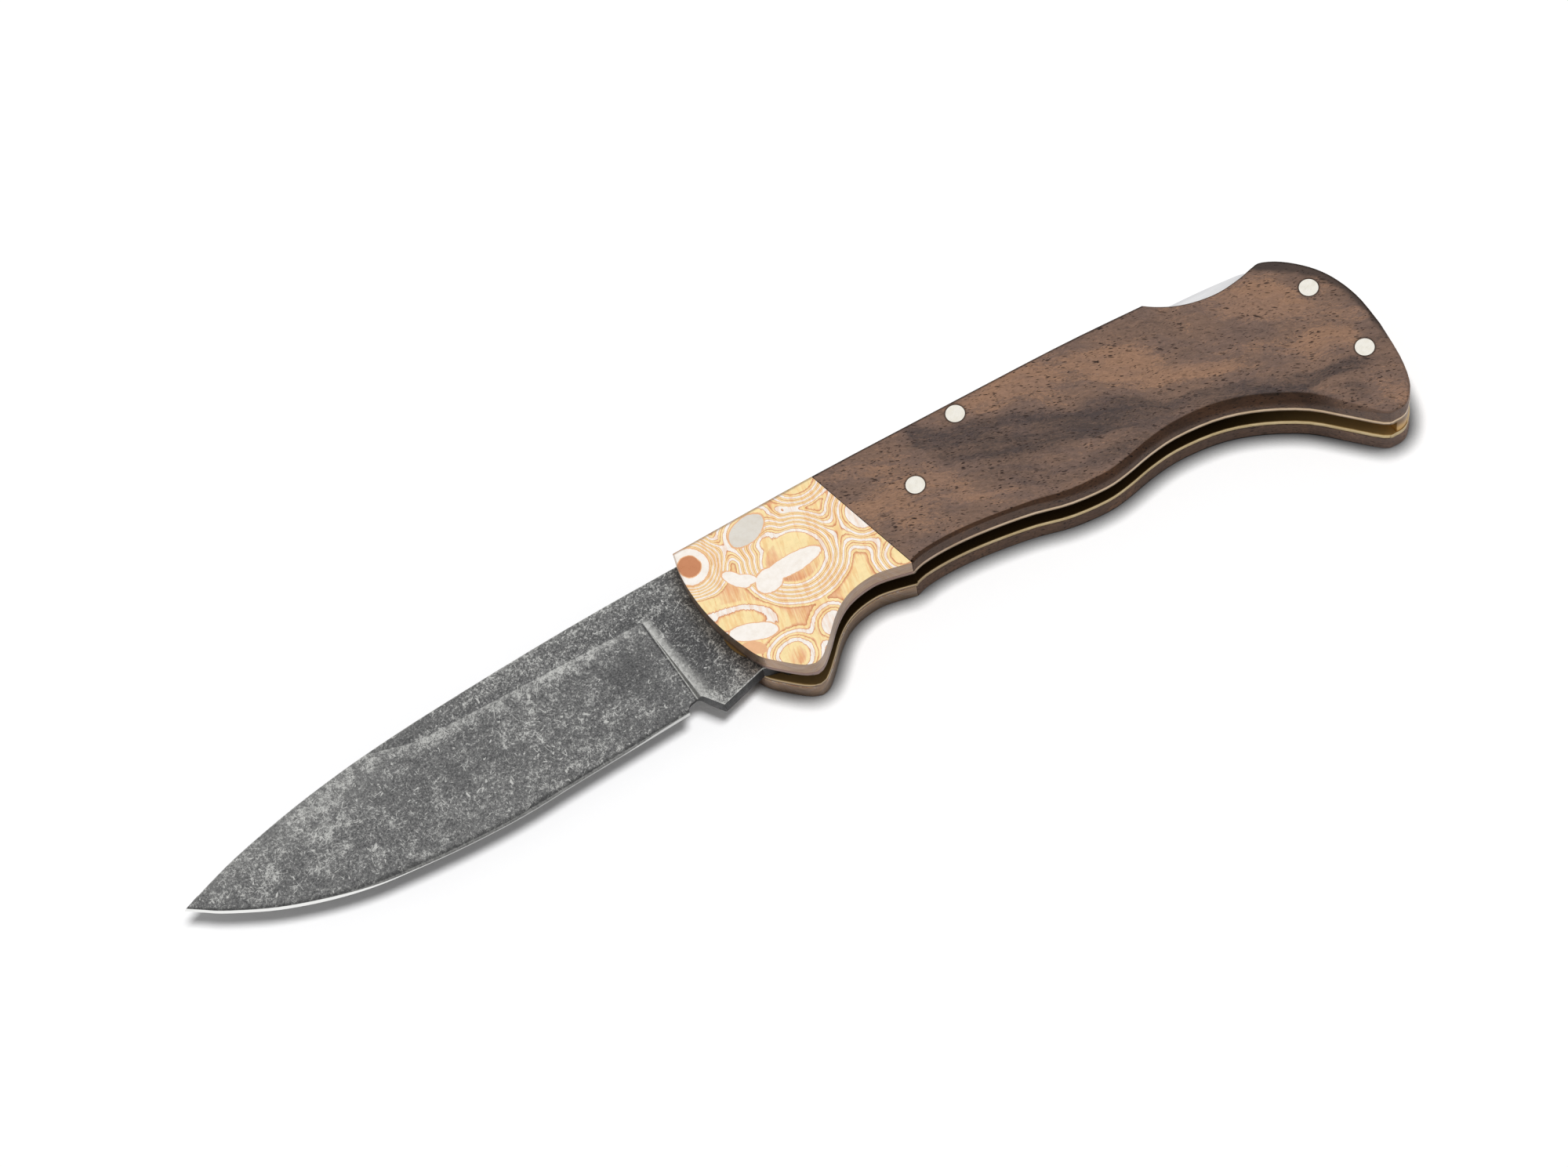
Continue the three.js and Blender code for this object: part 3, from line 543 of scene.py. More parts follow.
# Dimples pressed into the layers: place, turn in degrees, reach along and across, flat share, layers cut
DIMPLES = [
    ((-5.7, 11.8), -60, (6.9, 6.5), 0.34, 6.0),
    ((8.8, 4.9), -20, (9.6, 8.9), 0.42, 5.05),
    ((4.8, 12.9), 24, (7.0, 4.8), 0.46, 1.8),
    ((1.2, -9.6), 0, (5.6, 5.4), 0.26, 2.0),
    ((8.9, -8.2), 30, (4.8, 5.0), 0.24, 1.7),
    ((21.4, 6.6), -12, (6.9, 7.8), 0.26, 3.6),
    ((15.2, 16.4), 0, (6.4, 5.4), 0.30, 3.4),
    ((23.4, -3.2), -20, (6.0, 5.8), 0.20, 3.3),
    ((-3.2, -0.2), -22, (7.4, 3.4), 0.30, -0.75),
]
# Solid places in the layers, where a dimple ends within one layer: place, turn, reach, flat share and colour
SOLID_PLACES = [
    ((3.7, 3.4), 20, (3.6, 3.0), 0.2, "pale_layer"),
    ((8.2, 4.2), 1, (6.6, 2.3), 0.35, "pale_layer"),
    ((4.6, 12.8), 20, (4.6, 2.9), 0.3, "silver_layer"),
    ((-0.6, 6.2), -58, (3.8, 1.5), 0.1, "pale_layer"),
    ((0.6, 5.4), -30, (2.8, 1.4), 0.1, "pale_layer"),
    ((-5.8, 11.9), -60, (4.3, 3.9), 0.4, "pale_layer"),
    ((-2.4, -2.9), -22, (5.2, 2.2), 0.3, "pale_layer"),
    ((-5.8, 11.9), -60, (2.5, 2.3), 0.3, "copper_layer"),
    ((-3.4, -5.4), -35, (2.6, 1.3), 0.3, "orange_layer"),
]
LAYERS_PER_MM = 0.34


def layered_material(finish):
    s = Surface("Layered copper, brass and nickel silver")
    n = s.n
    bend = n.vector("MULTIPLY", n.noise_vector(s.place, 0.16, 1.0), (0.9, 0.9, 0))
    fine_bend = n.vector("MULTIPLY", n.noise_vector(s.place, 0.8, 1.0), (0.22, 0.22, 0))
    bent = n.vector("ADD", n.vector("ADD", s.place, bend), fine_bend)
    # Grinding leaves the layers' borders slightly torn in one direction
    torn = s.brushing(radians(80), (0.35, 3.6, 0.3))
    dimples = s.ovals(bent, DIMPLES)
    swell = n.minus(n.noise(s.place, 0.09, 1.0), 0.5)
    depth = n.times(n.minus(s.z, HANDLE_TOP), LAYERS_PER_MM)
    level = s.sum([(dimples, 1.0), (swell, 0.7), (torn, 0.20), (depth, 1.0)])
    share = n.math("FRACT", n.math("ADD", level, 0.42))
    pale, yellow = finish.pale_layer, finish.yellow_layer
    orange, copper = finish.orange_layer, finish.copper_layer
    colour = n.ramp(share, [
        (0.00, pale), (0.155, pale), (0.165, copper), (0.20, orange), (0.24, yellow), (0.38, yellow),
        (0.46, orange), (0.555, copper), (0.57, yellow), (0.74, yellow), (0.79, orange), (0.835, copper),
        (0.845, pale), (1.00, pale)])
    # Broad bands turn warmer from place to place
    warm = n.drawn(n.turn(s.place, radians(80)), (0.2, 1.5, 0.4), 3.0, 0.6)
    warmth = n.times(n.remap(warm, 0.46, 0.62), 0.7)
    colour = n.tint(colour, n.mix(0.5, orange, (1, 1, 1)), warmth)
    for layer in ("pale_layer", "silver_layer", "orange_layer", "copper_layer"):
        solid = 0.0
        for place, turn, reach, flat, name in SOLID_PLACES:
            if name == layer:
                solid = n.most(solid, s.oval(bent, place, turn, reach, flat))
        solid = n.math("MULTIPLY_ADD", torn, 0.2, solid)
        colour = n.mix(n.remap(solid, 0.24, 0.28), colour, orange)
        colour = n.mix(n.remap(solid, 0.37, 0.42), colour, getattr(finish, layer))
    # Faint mottling, and a few specks of tarnish
    cloud = n.noise(s.place, 1.1, 4.0, 0.6)
    colour = n.tint(colour, n.ramp(cloud, [(0.3, (0.93, 0.91, 0.88)), (0.6, (1, 1, 1))]))
    specks = n.remap(n.noise(s.place, 2.6, 3.0, 0.7), 0.68, 0.78)
    colour = n.mix(n.times(specks, 0.35), colour, finish.patina)
    # The side walls keep a brown tarnish with the layers as faint lines; the same brown is laid as painted
    # shade where the faces roll over along the spine
    level = s.level()
    spine_roll_shade = n.times(n.remap(level, 0.999, 0.97), n.remap(s.y, 9, 13))
    wall = n.most(n.remap(level, 0.8, 0.35), n.times(spine_roll_shade, 0.55), n.times(s.spine_shade_rim(), 0.7))
    lines = n.drawn(s.place, (0.5, 0.5, 6.0), 3.0, 0.6)
    faded = n.ramp(lines, [(0.3, (0.74, 0.72, 0.72)), (0.65, (1.2, 1.2, 1.2))])
    tarnish = n.tint(finish.patina, faded)
    # The wall towards the blade is lighter
    tarnish = n.tint(tarnish, (1.25, 1.2, 1.15), n.remap(s.x, 1, -3))
    colour = n.mix(n.times(wall, 0.94), colour, tarnish)
    roughness = n.remap(cloud, 0.3, 0.7, 0.26, 0.4, smooth=False)
    return s.finish(colour, roughness, 1.0, torn, 0.12, 0.02)


def brass_material(finish):
    s = Surface("Satin brass")
    n = s.n
    lines = s.brushing(0.0, (0.5, 6.0, 6.0))
    cloud = n.noise(s.place, 0.35, 3.0, 0.6)
    shade = n.ramp(cloud, [(0.3, (0.86, 0.82, 0.74)), (0.65, (1.06, 1.06, 1.08))])
    bright = n.tint(finish.brass, shade)
    bright = n.mix(n.math("ABSOLUTE", lines), bright, finish.dark_brass_and_channel_shade)
    # Round the bolster the edges carry the bolster's tarnish, but for a golden rim inside the rear one
    at_bolster = n.remap(s.x, 24.2, 23.4)
    rear_rim = n.times(n.remap(s.z, 3.7, 3.85), n.remap(s.z, 4.3, 4.2))
    tarnish = n.mix(rear_rim, finish.patina, finish.brass)
    bright = n.mix(n.times(at_bolster, 0.85), bright, tarnish)
    bright = n.tint(bright, (0.6, 0.55, 0.6), n.remap(s.x, 46, 26, 0.0, 0.6))
    # The front edge is paler than the rear one
    in_front = n.remap(s.z, MIDDLE_Z - 1, MIDDLE_Z + 1)
    bright = n.tint(bright, (0.98, 0.95, 1.18), in_front)
    # Painted shade of the channel on the lower half of the front edge, weaker near the pivot
    front_lower_shade = n.remap(s.z, FRONT_LINER_Z + 0.56, FRONT_LINER_Z + 0.36)
    front_lower_shade = n.times(front_lower_shade, in_front, n.remap(s.x, 10, 24, 0.2, 0.85))
    bright = n.mix(front_lower_shade, bright, n.tint(finish.brass, (0.16, 0.12, 0.09)))
    # The spacer's end is a deeper gold
    above_rear = n.remap(s.z, REAR_LINER_Z, REAR_LINER_Z + 0.1)
    between = n.times(above_rear, n.remap(s.z, FRONT_LINER_Z, FRONT_LINER_Z - 0.1))
    bright = n.tint(bright, (0.92, 0.72, 0.40), between)
    # Painted shade of the channel: the inner faces, and where the edge turns into them, take a dark brass,
    # lightened by a painted golden glow towards the butt and the pivot
    side = n.remap(s.level(), 0.35, 0.95)
    painted_golden_glow = n.times(n.remap(s.x, BUTT_X - 30, BUTT_X - 2), 0.6)
    painted_golden_glow = n.most(painted_golden_glow, n.remap(s.x, 12, 0, 0.0, 0.3))
    dull = n.mix(painted_golden_glow, finish.dark_brass_and_channel_shade, n.tint(finish.brass, (0.98, 0.80, 0.55)))
    colour = n.mix(side, bright, dull)
    roughness = n.between(side, 0.34, 0.6)
    return s.finish(colour, roughness, 1.0, lines, 0.15, 0.02)


# Thin curved scratches: shift in millimetres, turn in degrees and waves per millimetre
CURVED_SCRATCHES = [(11.0, 65, 0.8), (37.0, -20, 0.9), (83.0, 105, 0.7), (53.0, 25, 0.8)]
# Directions and sizes of the tumbling scratches: turn in degrees, lines per millimetre along and across
SCRATCHES = [
    (70, 0.75, 5.0),
    (-22, 0.8, 5.5),
    (28, 0.9, 5.0),
    (112, 0.7, 5.5),
    (50, 1.1, 6.5),
    (-60, 0.9, 6.0),
]
# Worn places on the blade: place, turn in degrees, reach along and across, flat share, strength
WORN_PLACES = [
    ((-53.5, 9.0), -5, (9.5, 1.8), 0.3, 0.75),
    ((-29, 8.6), 0, (12, 2.0), 0.2, 1.0),
    ((-37.5, 6.0), 66, (4.0, 2.2), 0.1, 0.6),
    ((-41, 12.0), 20, (5, 1.4), 0.1, 0.5),
    ((-70, 8.0), 14, (12, 2.4), 0.2, 1.1),
    ((-73, 3.5), 14, (6, 3.0), 0.2, 0.7),
    ((-56, -3), 60, (5.0, 3.0), 0.1, 0.5),
    ((-84, 2.0), 10, (9, 3.5), 0.2, 0.3),
    ((-68, -4), -30, (6, 2.5), 0.1, 0.4),
    ((-12.6, -7.2), -45, (4.4, 1.7), 0.2, 1.5),
    ((-8.2, -9.2), 18, (5.0, 1.3), 0.3, 1.3),
    ((-33, -5.5), 10, (8, 2.2), 0.1, 0.3),
]
DARK_PLACES = [
    ((-73, -5.5), -26, (12, 1.6), 0.2, 0.8),
    ((-21.5, 2.5), 20, (6.5, 6.0), 0.2, 0.85),
    ((-50, 2), 10, (9, 3.0), 0.1, 0.3),
    ((-62, 3.5), 10, (8, 2.5), 0.1, 0.4),
    ((-11.0, 1.5), 90, (10, 3.6), 0.4, 0.8),
    ((-53, 11.6), 8, (12, 1.9), 0.4, 1.0),
    ((-31, 12.6), 0, (6, 1.6), 0.2, 0.7),
    ((-20, 12.6), 0, (9, 2.0), 0.3, 0.3),
]
# Round of the bolster's front arris, where painted shadow and reflection of the bolster lie on the blade:
# its centre, and where the shade ends and starts
ARRIS_CENTRE = (15, 7)
ARRIS_REACH = (25.6, 22.4)


def blade_material(finish):
    s = Surface("Tumbled blade steel")
    n = s.n
    cloud = n.noise(s.place, 0.22, 4.0, 0.6)
    clusters = n.noise(s.place, 0.55, 5.0, 0.75)
    grains = n.noise(s.place, 2.2, 6.0, 0.8)
    fine = n.noise(s.place, 3.4, 3.0, 0.8)
    worn = s.ovals(s.place, WORN_PLACES)
    dull = s.ovals(s.place, DARK_PLACES)
    # The ground face is rubbed just below the grind line and stays dark just above it
    rise = n.remap(s.x, GRIND_RISE_FROM, GRIND_RISE_TO, 0.0, GRIND_RISE)
    from_grind = n.minus(s.y, n.math("ADD", rise, RICASSO_GRIND_Y))
    in_front = n.remap(s.x, PLUNGE_TOP_X - 0.2, PLUNGE_TOP_X - 1.4)
    below = n.times(n.remap(from_grind, -2.6, -0.1), n.remap(from_grind, 0.06, -0.06))
    above = n.times(n.remap(from_grind, -0.02, 0.12), n.remap(from_grind, 2.2, 0.8))
    step = n.times(n.minus(below, above), in_front)
    wear = s.sum([(worn, 0.07), (dull, -0.09), (cloud, 0.20), (clusters, 0.42), (step, 0.035)])
    strokes = 0.0
    for turn, along, across in SCRATCHES:
        strokes = n.most(strokes, s.brushing(radians(turn), (along, across, 1.0)))
    scratches = n.remap(n.math("ADD", strokes, wear), 0.455, 0.565)
    # The flat above the grind line is rougher than the ground face
    ricasso = n.remap(s.x, PLUNGE_TOP_X, PLUNGE_TOP_X + 1.5)
    rough = n.most(n.remap(from_grind, 0.0, 0.8), ricasso)
    bite = n.times(n.minus(fine, 0.5), n.remap(rough, 0.0, 1.0, 0.45, 1.0, smooth=False))
    speckle = s.sum([(grains, 1.0), (wear, 1.0), (bite, 1.0)])
    specks = n.remap(speckle, 0.825, 1.075)
    marks = n.times(specks, n.remap(rough, 0.0, 1.0, 0.76, 0.95, smooth=False))
    marks = n.most(marks, n.times(scratches, 0.9))
    # Thin curved scratches: short stretches of wandering lines
    curved = 0.0
    for shift, turn, rate in CURVED_SCRATCHES:
        place = n.turn(n.vector("ADD", s.place, (shift, -shift, 0.0)), radians(turn))
        drawn_out = n.vector("MULTIPLY", place, (0.3, 1.0, 1.0))
        from_line = n.math("ABSOLUTE", n.minus(n.noise(drawn_out, rate, 1.0, 0.4), 0.5))
        stretch = n.math("MULTIPLY_ADD", wear, 0.5, n.noise(place, 0.8, 1.0, 0.5))
        shown = n.remap(stretch, 0.77, 0.83, 0.0, 0.85)
        curved = n.most(curved, n.times(n.remap(from_line, 0.017, 0.006), shown))
    marks = n.most(marks, curved)
    # Scuffed bands on the grind line and the plunge line
    on_grind = n.times(n.remap(from_grind, -1.0, -0.05), n.remap(from_grind, 0.1, -0.02))
    grind_band = n.times(on_grind, in_front, n.remap(clusters, 0.38, 0.6))
    plunge = n.math("MULTIPLY_ADD", n.minus(s.y, RICASSO_GRIND_Y), PLUNGE_SLANT, s.x)
    from_plunge = n.minus(plunge, PLUNGE_TOP_X - 0.15)
    under_grind = n.remap(s.y, RICASSO_GRIND_Y + 0.5, RICASSO_GRIND_Y - 0.4)
    plunge_width = n.remap(s.y, RICASSO_GRIND_Y, -8, 1.7, 3.2)
    fade = n.remap(n.math("DIVIDE", from_plunge, plunge_width), 1.0, 0.1)
    broken = n.remap(grains, 0.3, 0.55, 0.4, 1.0)
    plunge_band = n.times(n.remap(from_plunge, -0.08, 0.12), fade, under_grind, broken)
    plunge_shadow_line = n.times(n.remap(from_plunge, -0.45, -0.15), n.remap(from_plunge, 0.05, -0.1), under_grind)
    bands = n.most(n.times(grind_band, 0.6), n.times(plunge_band, 0.9))
    tone = n.most(marks, n.times(bands, n.remap(grains, 0.3, 0.6, 0.6, 1.0)))
    ground = s.sum([(wear, 0.8), (fine, 0.6), (grains, 0.4), (bite, 1.0)])
    ground = n.minus(ground, n.times(ricasso, 0.05))
    colour = n.mix(n.remap(ground, 0.56, 0.96, smooth=False), finish.blade_dark, finish.blade_middle)
    colour = n.mix(tone, colour, finish.blade_scuff)
    shadow = n.tint(finish.blade_dark, (0.4, 0.4, 0.4))
    # Painted shadow along the plunge line
    colour = n.mix(n.times(plunge_shadow_line, 0.6), colour, shadow)
    # Painted shadow and reflection of the bolster's wall on the blade next to the arris
    tarnish = n.times(n.remap(s.from_axis(*ARRIS_CENTRE), *ARRIS_REACH), 0.85)
    colour = n.tint(colour, (0.42, 0.38, 0.33), tarnish)
    # The walls of the spine, the tang and the choil are painted dark as shade; their broken edges are worn
    # bright in places, partly a painted highlight
    wall = n.remap(s.level(), 0.5, 0.2)
    scale = n.tint(finish.blade_dark, (0.2, 0.2, 0.2))
    scale = n.mix(n.times(grains, 0.3), scale, finish.blade_dark)
    colour = n.mix(wall, colour, scale)
    edge_wear_and_highlight = n.times(s.edge(), n.remap(grains, 0.35, 0.6, 0.3, 1.0))
    colour = n.mix(edge_wear_and_highlight, colour, finish.blade_scuff)
    # The cutting edge is ground bright near the tip and a hairline elsewhere, with a painted highlight that
    # grows towards the tip and a painted shadow line above it
    reach = n.math("ABSOLUTE", n.minus(s.z, MIDDLE_Z))
    low = n.remap(n.math("MULTIPLY_ADD", s.x, 0.11, s.y), -1.5, -4.5)
    low_side = n.times(low, n.remap(s.x, PLUNGE_TOP_X - 0.2, PLUNGE_TOP_X - 0.6))
    shoulder = n.times(n.remap(reach, 0.3, 0.26), low_side)
    colour = n.mix(n.times(shoulder, 0.6), colour, shadow)
    width = n.most(n.remap(s.x, -62, -80, 0.07, 0.25), n.remap(s.x, -30, -18, 0.07, 0.2))
    ground_edge = n.times(n.remap(n.math("DIVIDE", reach, width), 1.0, 0.85), low_side)
    # Painted highlight, brighter towards the tip
    tip_highlight = n.remap(s.x, -50, -76, 0.6, 1.0)
    colour = n.mix(n.times(ground_edge, tip_highlight), colour, finish.blade_edge)
    roughness = n.between(tone, 0.5, 0.36)
    height = s.sum([(specks, 0.6), (scratches, -0.8), (fine, 0.3)])
    return s.finish(colour, roughness, 1.0, height, 0.25, 0.02)


def lock_material(finish):
    s = Surface("Satin lock steel")
    n = s.n
    lines = s.brushing(0.0, (0.12, 7.0, 7.0))
    cloud = n.drawn(s.place, (0.05, 0.5, 0.5), 2.0, 0.5)
    shade = n.ramp(cloud, [(0.3, (0.88, 0.88, 0.89)), (0.65, (1.0, 1.0, 1.0))])
    colour = n.tint(finish.lock_steel, shade)
    colour = n.mix(n.times(n.math("ABSOLUTE", lines), 0.7), colour, finish.spring_steel)
    roughness = n.remap(lines, -0.3, 0.3, 0.24, 0.4, smooth=False)
    return s.finish(colour, roughness, 1.0, lines, 0.2, 0.02)


def spring_material(finish):
    s = Surface("Spring steel")
    n = s.n
    lines = s.brushing(0.0, (0.6, 5.0, 5.0))
    cloud = n.noise(s.place, 0.6, 3.0, 0.6)
    shade = n.ramp(cloud, [(0.3, (0.8, 0.8, 0.82)), (0.65, (1.05, 1.05, 1.05))])
    colour = n.tint(finish.spring_steel, shade)
    roughness = n.remap(lines, -0.3, 0.3, 0.3, 0.46, smooth=False)
    return s.finish(colour, roughness, 1.0, lines, 0.2, 0.02)


def pin_material(finish):
    s = Surface("Ground nickel silver")
    n = s.n
    lines = s.brushing(radians(35), (0.7, 9.0, 2.0))
    cloud = n.noise(s.place, 1.2, 2.0, 0.5)
    shade = n.ramp(cloud, [(0.3, (0.94, 0.93, 0.9)), (0.6, (1, 1, 1))])
    colour = n.tint(finish.pin_metal, shade)
    colour = n.mix(n.math("ABSOLUTE", lines), colour, finish.spring_steel)
    # Polishing dirt stays in the rim
    colour = n.mix(n.remap(s.level(), 0.98, 0.85), colour, finish.wood_pore)
    return s.finish(colour, 0.3, 1.0, lines, 0.1, 0.01)


def direct_rays(n):
    """One for rays from the camera or off a mirror, and nothing for scattered light."""
    rays = n.add("LightPath", {}).outputs
    return n.most(rays["Is Camera Ray"], rays["Is Glossy Ray"], rays["Is Transmission Ray"])


def floor_material():
    """White floor that keeps the shadow; where nothing shades it, it shows as white."""
    material = bpy.data.materials.new("White floor")
    material.use_nodes = True
    tree = material.node_tree
    tree.nodes.clear()
    n = Nodes(tree)
    bounce = n.add("BsdfDiffuse", {"Color": FLOOR_BOUNCE}).outputs[0]
    # Painted contact shadow: the paper's colour darkens close to where the handle touches it
    open_share = n.add("AmbientOcclusion", {"Distance": CONTACT_REACH}, samples=8).outputs["AO"]
    contact_shadow = n.math("POWER", open_share, CONTACT_DEPTH)
    white = n.mix(contact_shadow, (0, 0, 0), PAPER)
    paper = n.add("BsdfDiffuse", {"Color": white}).outputs[0]
    lift = n.add("Emission", {"Color": (1, 1, 1), "Strength": n.times(contact_shadow, PAPER_LIFT)}).outputs[0]
    shown = n.add("AddShader", {0: paper, 1: lift}).outputs[0]
    mixed = n.add("MixShader", {0: direct_rays(n), 1: bounce, 2: shown}).outputs[0]
    n.put(tree.nodes.new("ShaderNodeOutputMaterial").inputs["Surface"], mixed)
    return material


MATERIALS = {
    "walnut": walnut_material,
    "mokume": layered_material,
    "liner_brass": brass_material,
    "blade_steel": blade_material,
    "lock_steel": lock_material,
    "spring_steel": spring_material,
    "pin_metal": pin_material,
}
made_materials = {}


def material_for(slot, context):
    if slot not in made_materials:
        made_materials[slot] = MATERIALS[slot](context.scene.knife_finish)
    return made_materials[slot]


def deselect_all():
    bpy.ops.object.select_all(action="DESELECT")


def only(piece):
    """Selects one object and makes it active."""
    deselect_all()
    piece.select_set(True)
    bpy.context.view_layer.objects.active = piece


def merged_copy(node):
    """A copy of a solid of the frame with its vertices merged and its flat faces joined up."""
    piece = bpy.data.objects.new(node + "_finished", frame["nodes"][node].data.copy())
    bpy.context.scene.collection.objects.link(piece)
    only(piece)
    bpy.ops.mesh.customdata_custom_splitnormals_clear()
    bpy.ops.object.mode_set(mode="EDIT")
    bpy.ops.mesh.select_all(action="SELECT")
    bpy.ops.mesh.remove_doubles(threshold=MERGE_DISTANCE)
    bpy.ops.mesh.dissolve_limited(angle_limit=FLAT_ANGLE)
    bpy.ops.object.mode_set(mode="OBJECT")
    return piece


def is_corner(edge):
    return len(edge.link_faces) == 2 and edge.calc_face_angle() > CORNER_ANGLE


def is_outline(edge):
    """An outer edge of a liner, and not the rim of one of its holes."""
    if not is_corner(edge):
        return False
    walls = [face for face in edge.link_faces if abs(face.normal.z) < WALL_NORMAL]
    return bool(walls) and all(face.calc_area() > HOLE_FACET for face in walls)


def is_blade_rim(edge):
    """A corner of the spine or the tang that lies well away from the cutting edge."""
    if not is_corner(edge):
        return False
    heights = [abs(vert.co.z / MM - MIDDLE_Z) for vert in edge.verts]
    return min(heights) > CUTTING_HALF


def is_crease(edge):
    """A part of the grind line or of the shoulder of the cutting edge."""
    faces = edge.link_faces
    level = len(faces) == 2 and all(abs(face.normal.z) > FACE_NORMAL for face in faces)
    return level and edge.calc_face_angle() > CREASE_ANGLE


def select_edges(piece, chosen):
    """Opens a piece for editing with its chosen edges selected."""
    only(piece)
    bpy.context.tool_settings.mesh_select_mode = (False, True, False)
    bpy.ops.object.mode_set(mode="EDIT")
    bpy.ops.mesh.select_all(action="DESELECT")
    mesh = bmesh.from_edit_mesh(piece.data)
    for edge in mesh.edges:
        edge.select_set(chosen(edge))
    bmesh.update_edit_mesh(piece.data)


def break_edges(piece, width, segments=2, chosen=is_corner):
    """Bevels the chosen edges of a piece."""
    select_edges(piece, chosen)
    bpy.ops.mesh.bevel(
        offset=width, offset_type="OFFSET", segments=segments, affect="EDGES", clamp_overlap=False)
    bpy.ops.object.mode_set(mode="OBJECT")


def keep_within(piece, node):
    """Draws the few vertices that a bevel has pushed out back to the box of the piece's node."""
    low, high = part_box(node)
    for vert in piece.data.vertices:
        vert.co = [min(max(value, a), b) for value, a, b in zip(vert.co, low, high)]


def smooth(piece):
    """Shades the piece smoothly up to its corners, with large faces kept flat."""
    only(piece)
    bpy.ops.object.shade_smooth_by_angle(angle=CORNER_ANGLE)
    modifier = piece.modifiers.new("Flat faces", "WEIGHTED_NORMAL")
    modifier.keep_sharp = True
    modifier.weight = FLAT_FACE_WEIGHT
    bpy.ops.object.modifier_apply(modifier=modifier.name)


def hand_over(piece, node, context):
    """Gives the piece its finish and puts it in the place of its node."""
    keep_within(piece, node)
    sub_part = next(s for s in frame["record"]["subparts"] if s["node"] == node)
    slot = sub_part["material_slot"]
    body = next(b for b, nodes in frame["record"]["behaviour"]["bodies"].items() if node in nodes)
    piece.data.materials.clear()
    piece.data.materials.append(material_for(slot, context))
    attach(piece, body)
    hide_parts(node)


def sharpen_creases(piece):
    """Marks the grind line and the shoulder of the cutting edge as creases."""
    select_edges(piece, is_crease)
    bpy.ops.mesh.mark_sharp()
    bpy.ops.object.mode_set(mode="OBJECT")


def finished_copy(node, context, width, segments=2, chosen=is_corner):
    """Puts a copy of a solid in its place, with broken edges and its finish."""
    piece = merged_copy(node)
    break_edges(piece, width, segments, chosen)
    smooth(piece)
    hand_over(piece, node, context)


class KNIFE_OT_scales(bpy.types.Operator):
    """Wood scales with rolled edges"""
    bl_idname = "knife.scales"
    bl_label = "Wood scales"

    def execute(self, context):
        for node in ("front_scale", "rear_scale"):
            finished_copy(node, context, context.scene.knife_sizes.wood_edge)
        return {"FINISHED"}


class KNIFE_OT_bolsters(bpy.types.Operator):
    """Layered metal bolsters with crisp faces"""
    bl_idname = "knife.bolsters"
    bl_label = "Bolsters"

    def execute(self, context):
        for node in ("front_bolster", "rear_bolster"):
            finished_copy(node, context, context.scene.knife_sizes.metal_edge)
        return {"FINISHED"}


class KNIFE_OT_liners(bpy.types.Operator):
    """Brass liners with rounded edges, and the spacer between them"""
    bl_idname = "knife.liners"
    bl_label = "Liners and spacer"

    def execute(self, context):
        sizes = context.scene.knife_sizes
        for node in ("front_liner", "rear_liner"):
            finished_copy(node, context, sizes.liner_edge, ROUND_STEPS, is_outline)
        finished_copy("butt_spacer", context, sizes.metal_edge, ROUND_STEPS)
        return {"FINISHED"}


class KNIFE_OT_blade(bpy.types.Operator):
    """Blade with its grind, plunge line and cutting edge"""
    bl_idname = "knife.blade"
    bl_label = "Blade"

    def execute(self, context):
        piece = merged_copy("blade")
        break_edges(piece, context.scene.knife_sizes.blade_edge, chosen=is_blade_rim)
        smooth(piece)
        sharpen_creases(piece)
        hand_over(piece, "blade", context)
        return {"FINISHED"}


class KNIFE_OT_lock(bpy.types.Operator):
    """Lock bar and its leaf spring"""
    bl_idname = "knife.lock"
    bl_label = "Lock bar and spring"

    def execute(self, context):
        finished_copy("lock_bar", context, context.scene.knife_sizes.lock_edge)
        finished_copy("lock_spring", context, context.scene.knife_sizes.metal_edge)
        return {"FINISHED"}


class KNIFE_OT_pins(bpy.types.Operator):
    """Pins, rivets and dowels with broken rims"""
    bl_idname = "knife.pins"
    bl_label = "Pins"

    def execute(self, context):
        for node in PINS:
            low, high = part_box(node)
            deselect_all()
            bpy.ops.mesh.primitive_cylinder_add(
                vertices=PIN_SIDES, radius=(high.x - low.x) / 2, depth=high.z - low.z,
                location=(low + high) / 2)
            piece = context.object
            piece.name = node + "_finished"
            bpy.ops.object.transform_apply(location=True, rotation=True, scale=True)
            break_edges(piece, context.scene.knife_sizes.pin_rim, ROUND_STEPS)
            smooth(piece)
            hand_over(piece, node, context)
        return {"FINISHED"}


class KNIFE_OT_washers(bpy.types.Operator):
    """Thin washers on either side of the tang"""
    bl_idname = "knife.washers"
    bl_label = "Washers"

    def execute(self, context):
        for node in ("front_pivot_washer", "rear_pivot_washer"):
            piece = merged_copy(node)
            smooth(piece)
            hand_over(piece, node, context)
        return {"FINISHED"}


class KNIFE_OT_stage(bpy.types.Operator):
    """White floor, soft light and camera"""
    bl_idname = "knife.stage"
    bl_label = "Stage"

    def execute(self, context):
        stage = context.scene.knife_stage
        deselect_all()
        bpy.ops.object.camera_add(location=stage.camera_place, rotation=stage.camera_turn)
        camera = context.object
        camera.data.lens = stage.lens
        camera.data.clip_start = CAMERA_NEAR
        context.scene.camera = camera
        deselect_all()
        bpy.ops.mesh.primitive_plane_add(size=FLOOR_SIZE, location=(0, 0, -FLOOR_GAP))
        floor = context.object
        floor.name = "floor"
        floor.data.materials.append(floor_material())
        add_key_light(stage)
        add_sky(context.scene, stage.sky_level)
        context.scene.view_settings.view_transform = "Standard"
        return {"FINISHED"}


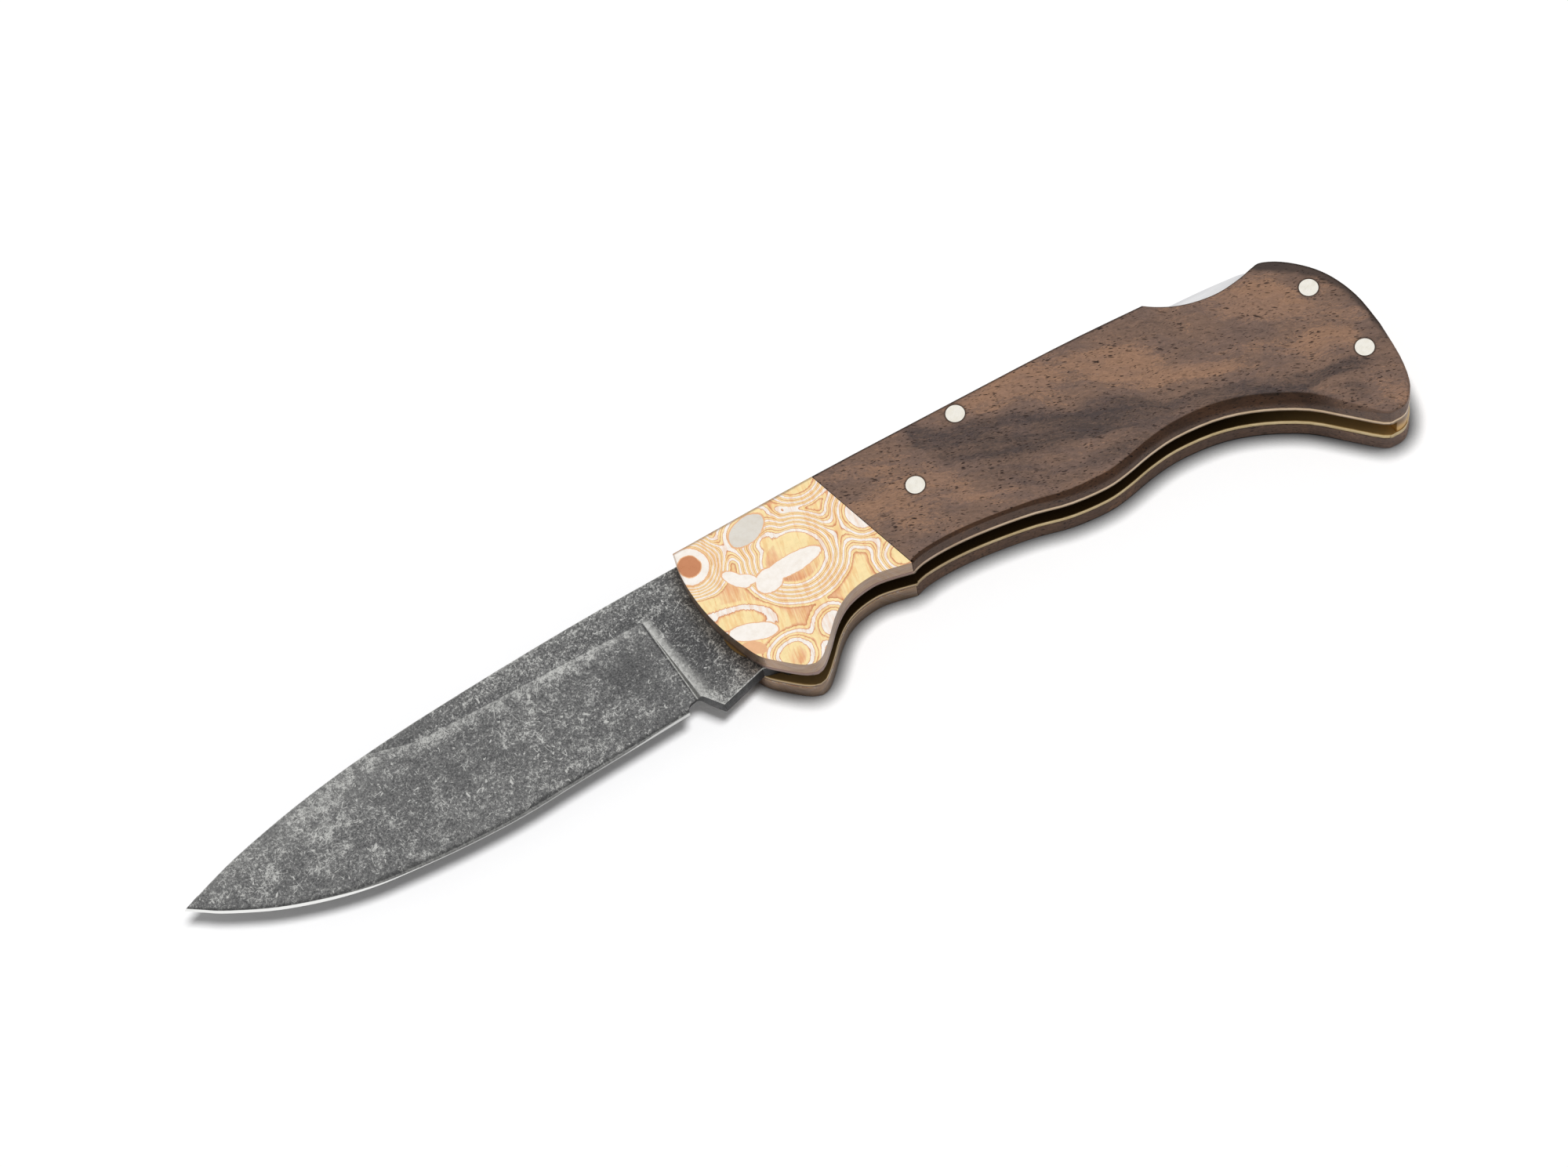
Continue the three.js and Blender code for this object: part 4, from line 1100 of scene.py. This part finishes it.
def add_key_light(stage):
    """One broad lamp overhead; it lights but isn't mirrored."""
    deselect_all()
    turn = KEY_DIRECTION.to_track_quat("Z", "Y").to_euler()
    bpy.ops.object.light_add(type="SUN", location=KEY_DIRECTION, rotation=turn)
    key = bpy.context.object
    key.name = "key_light"
    key.data.energy = stage.key_level * pi / KEY_DIRECTION.z
    key.data.angle = stage.key_softness
    key.visible_glossy = False


def add_sky(scene, level):
    """Even light all round, which shows as plain white to the eye and in reflections."""
    scene.world = bpy.data.worlds.new("White room")
    scene.world.use_nodes = True
    tree = scene.world.node_tree
    tree.nodes.clear()
    n = Nodes(tree)
    strength = n.between(direct_rays(n), level, 1.0)
    background = n.add("Background", {"Color": (1, 1, 1), "Strength": strength}).outputs[0]
    n.put(tree.nodes.new("ShaderNodeOutputWorld").inputs["Surface"], background)


class KNIFE_PT_panel(bpy.types.Panel):
    """Colours, edges and stage of the knife"""
    bl_idname = "KNIFE_PT_panel"
    bl_label = "Pocket Knife"
    bl_space_type = "VIEW_3D"
    bl_region_type = "UI"
    bl_category = "Pocket Knife"

    def draw(self, context):
        for group in (context.scene.knife_finish, context.scene.knife_sizes, context.scene.knife_stage):
            box = self.layout.box()
            for name in group.__annotations__:
                box.prop(group, name)
        for operator in OPERATORS:
            self.layout.operator(operator.bl_idname)


OPERATORS = (
    KNIFE_OT_scales, KNIFE_OT_bolsters, KNIFE_OT_liners, KNIFE_OT_blade, KNIFE_OT_lock, KNIFE_OT_pins,
    KNIFE_OT_washers, KNIFE_OT_stage)
GROUPS = {"knife_finish": KnifeFinish, "knife_sizes": KnifeSizes, "knife_stage": KnifeStage}


def register():
    for cls in (*GROUPS.values(), *OPERATORS, KNIFE_PT_panel):
        bpy.utils.register_class(cls)
    for name, cls in GROUPS.items():
        setattr(bpy.types.Scene, name, bpy.props.PointerProperty(type=cls))


def unregister():
    for name in GROUPS:
        delattr(bpy.types.Scene, name)
    for cls in (KNIFE_PT_panel, *reversed(OPERATORS), *reversed(GROUPS.values())):
        bpy.utils.unregister_class(cls)


def main():
    register()
    bpy.ops.knife.stage()
    bpy.ops.knife.scales()
    bpy.ops.knife.bolsters()
    bpy.ops.knife.liners()
    bpy.ops.knife.blade()
    bpy.ops.knife.lock()
    bpy.ops.knife.pins()
    bpy.ops.knife.washers()


if __name__ == "__main__":
    main()
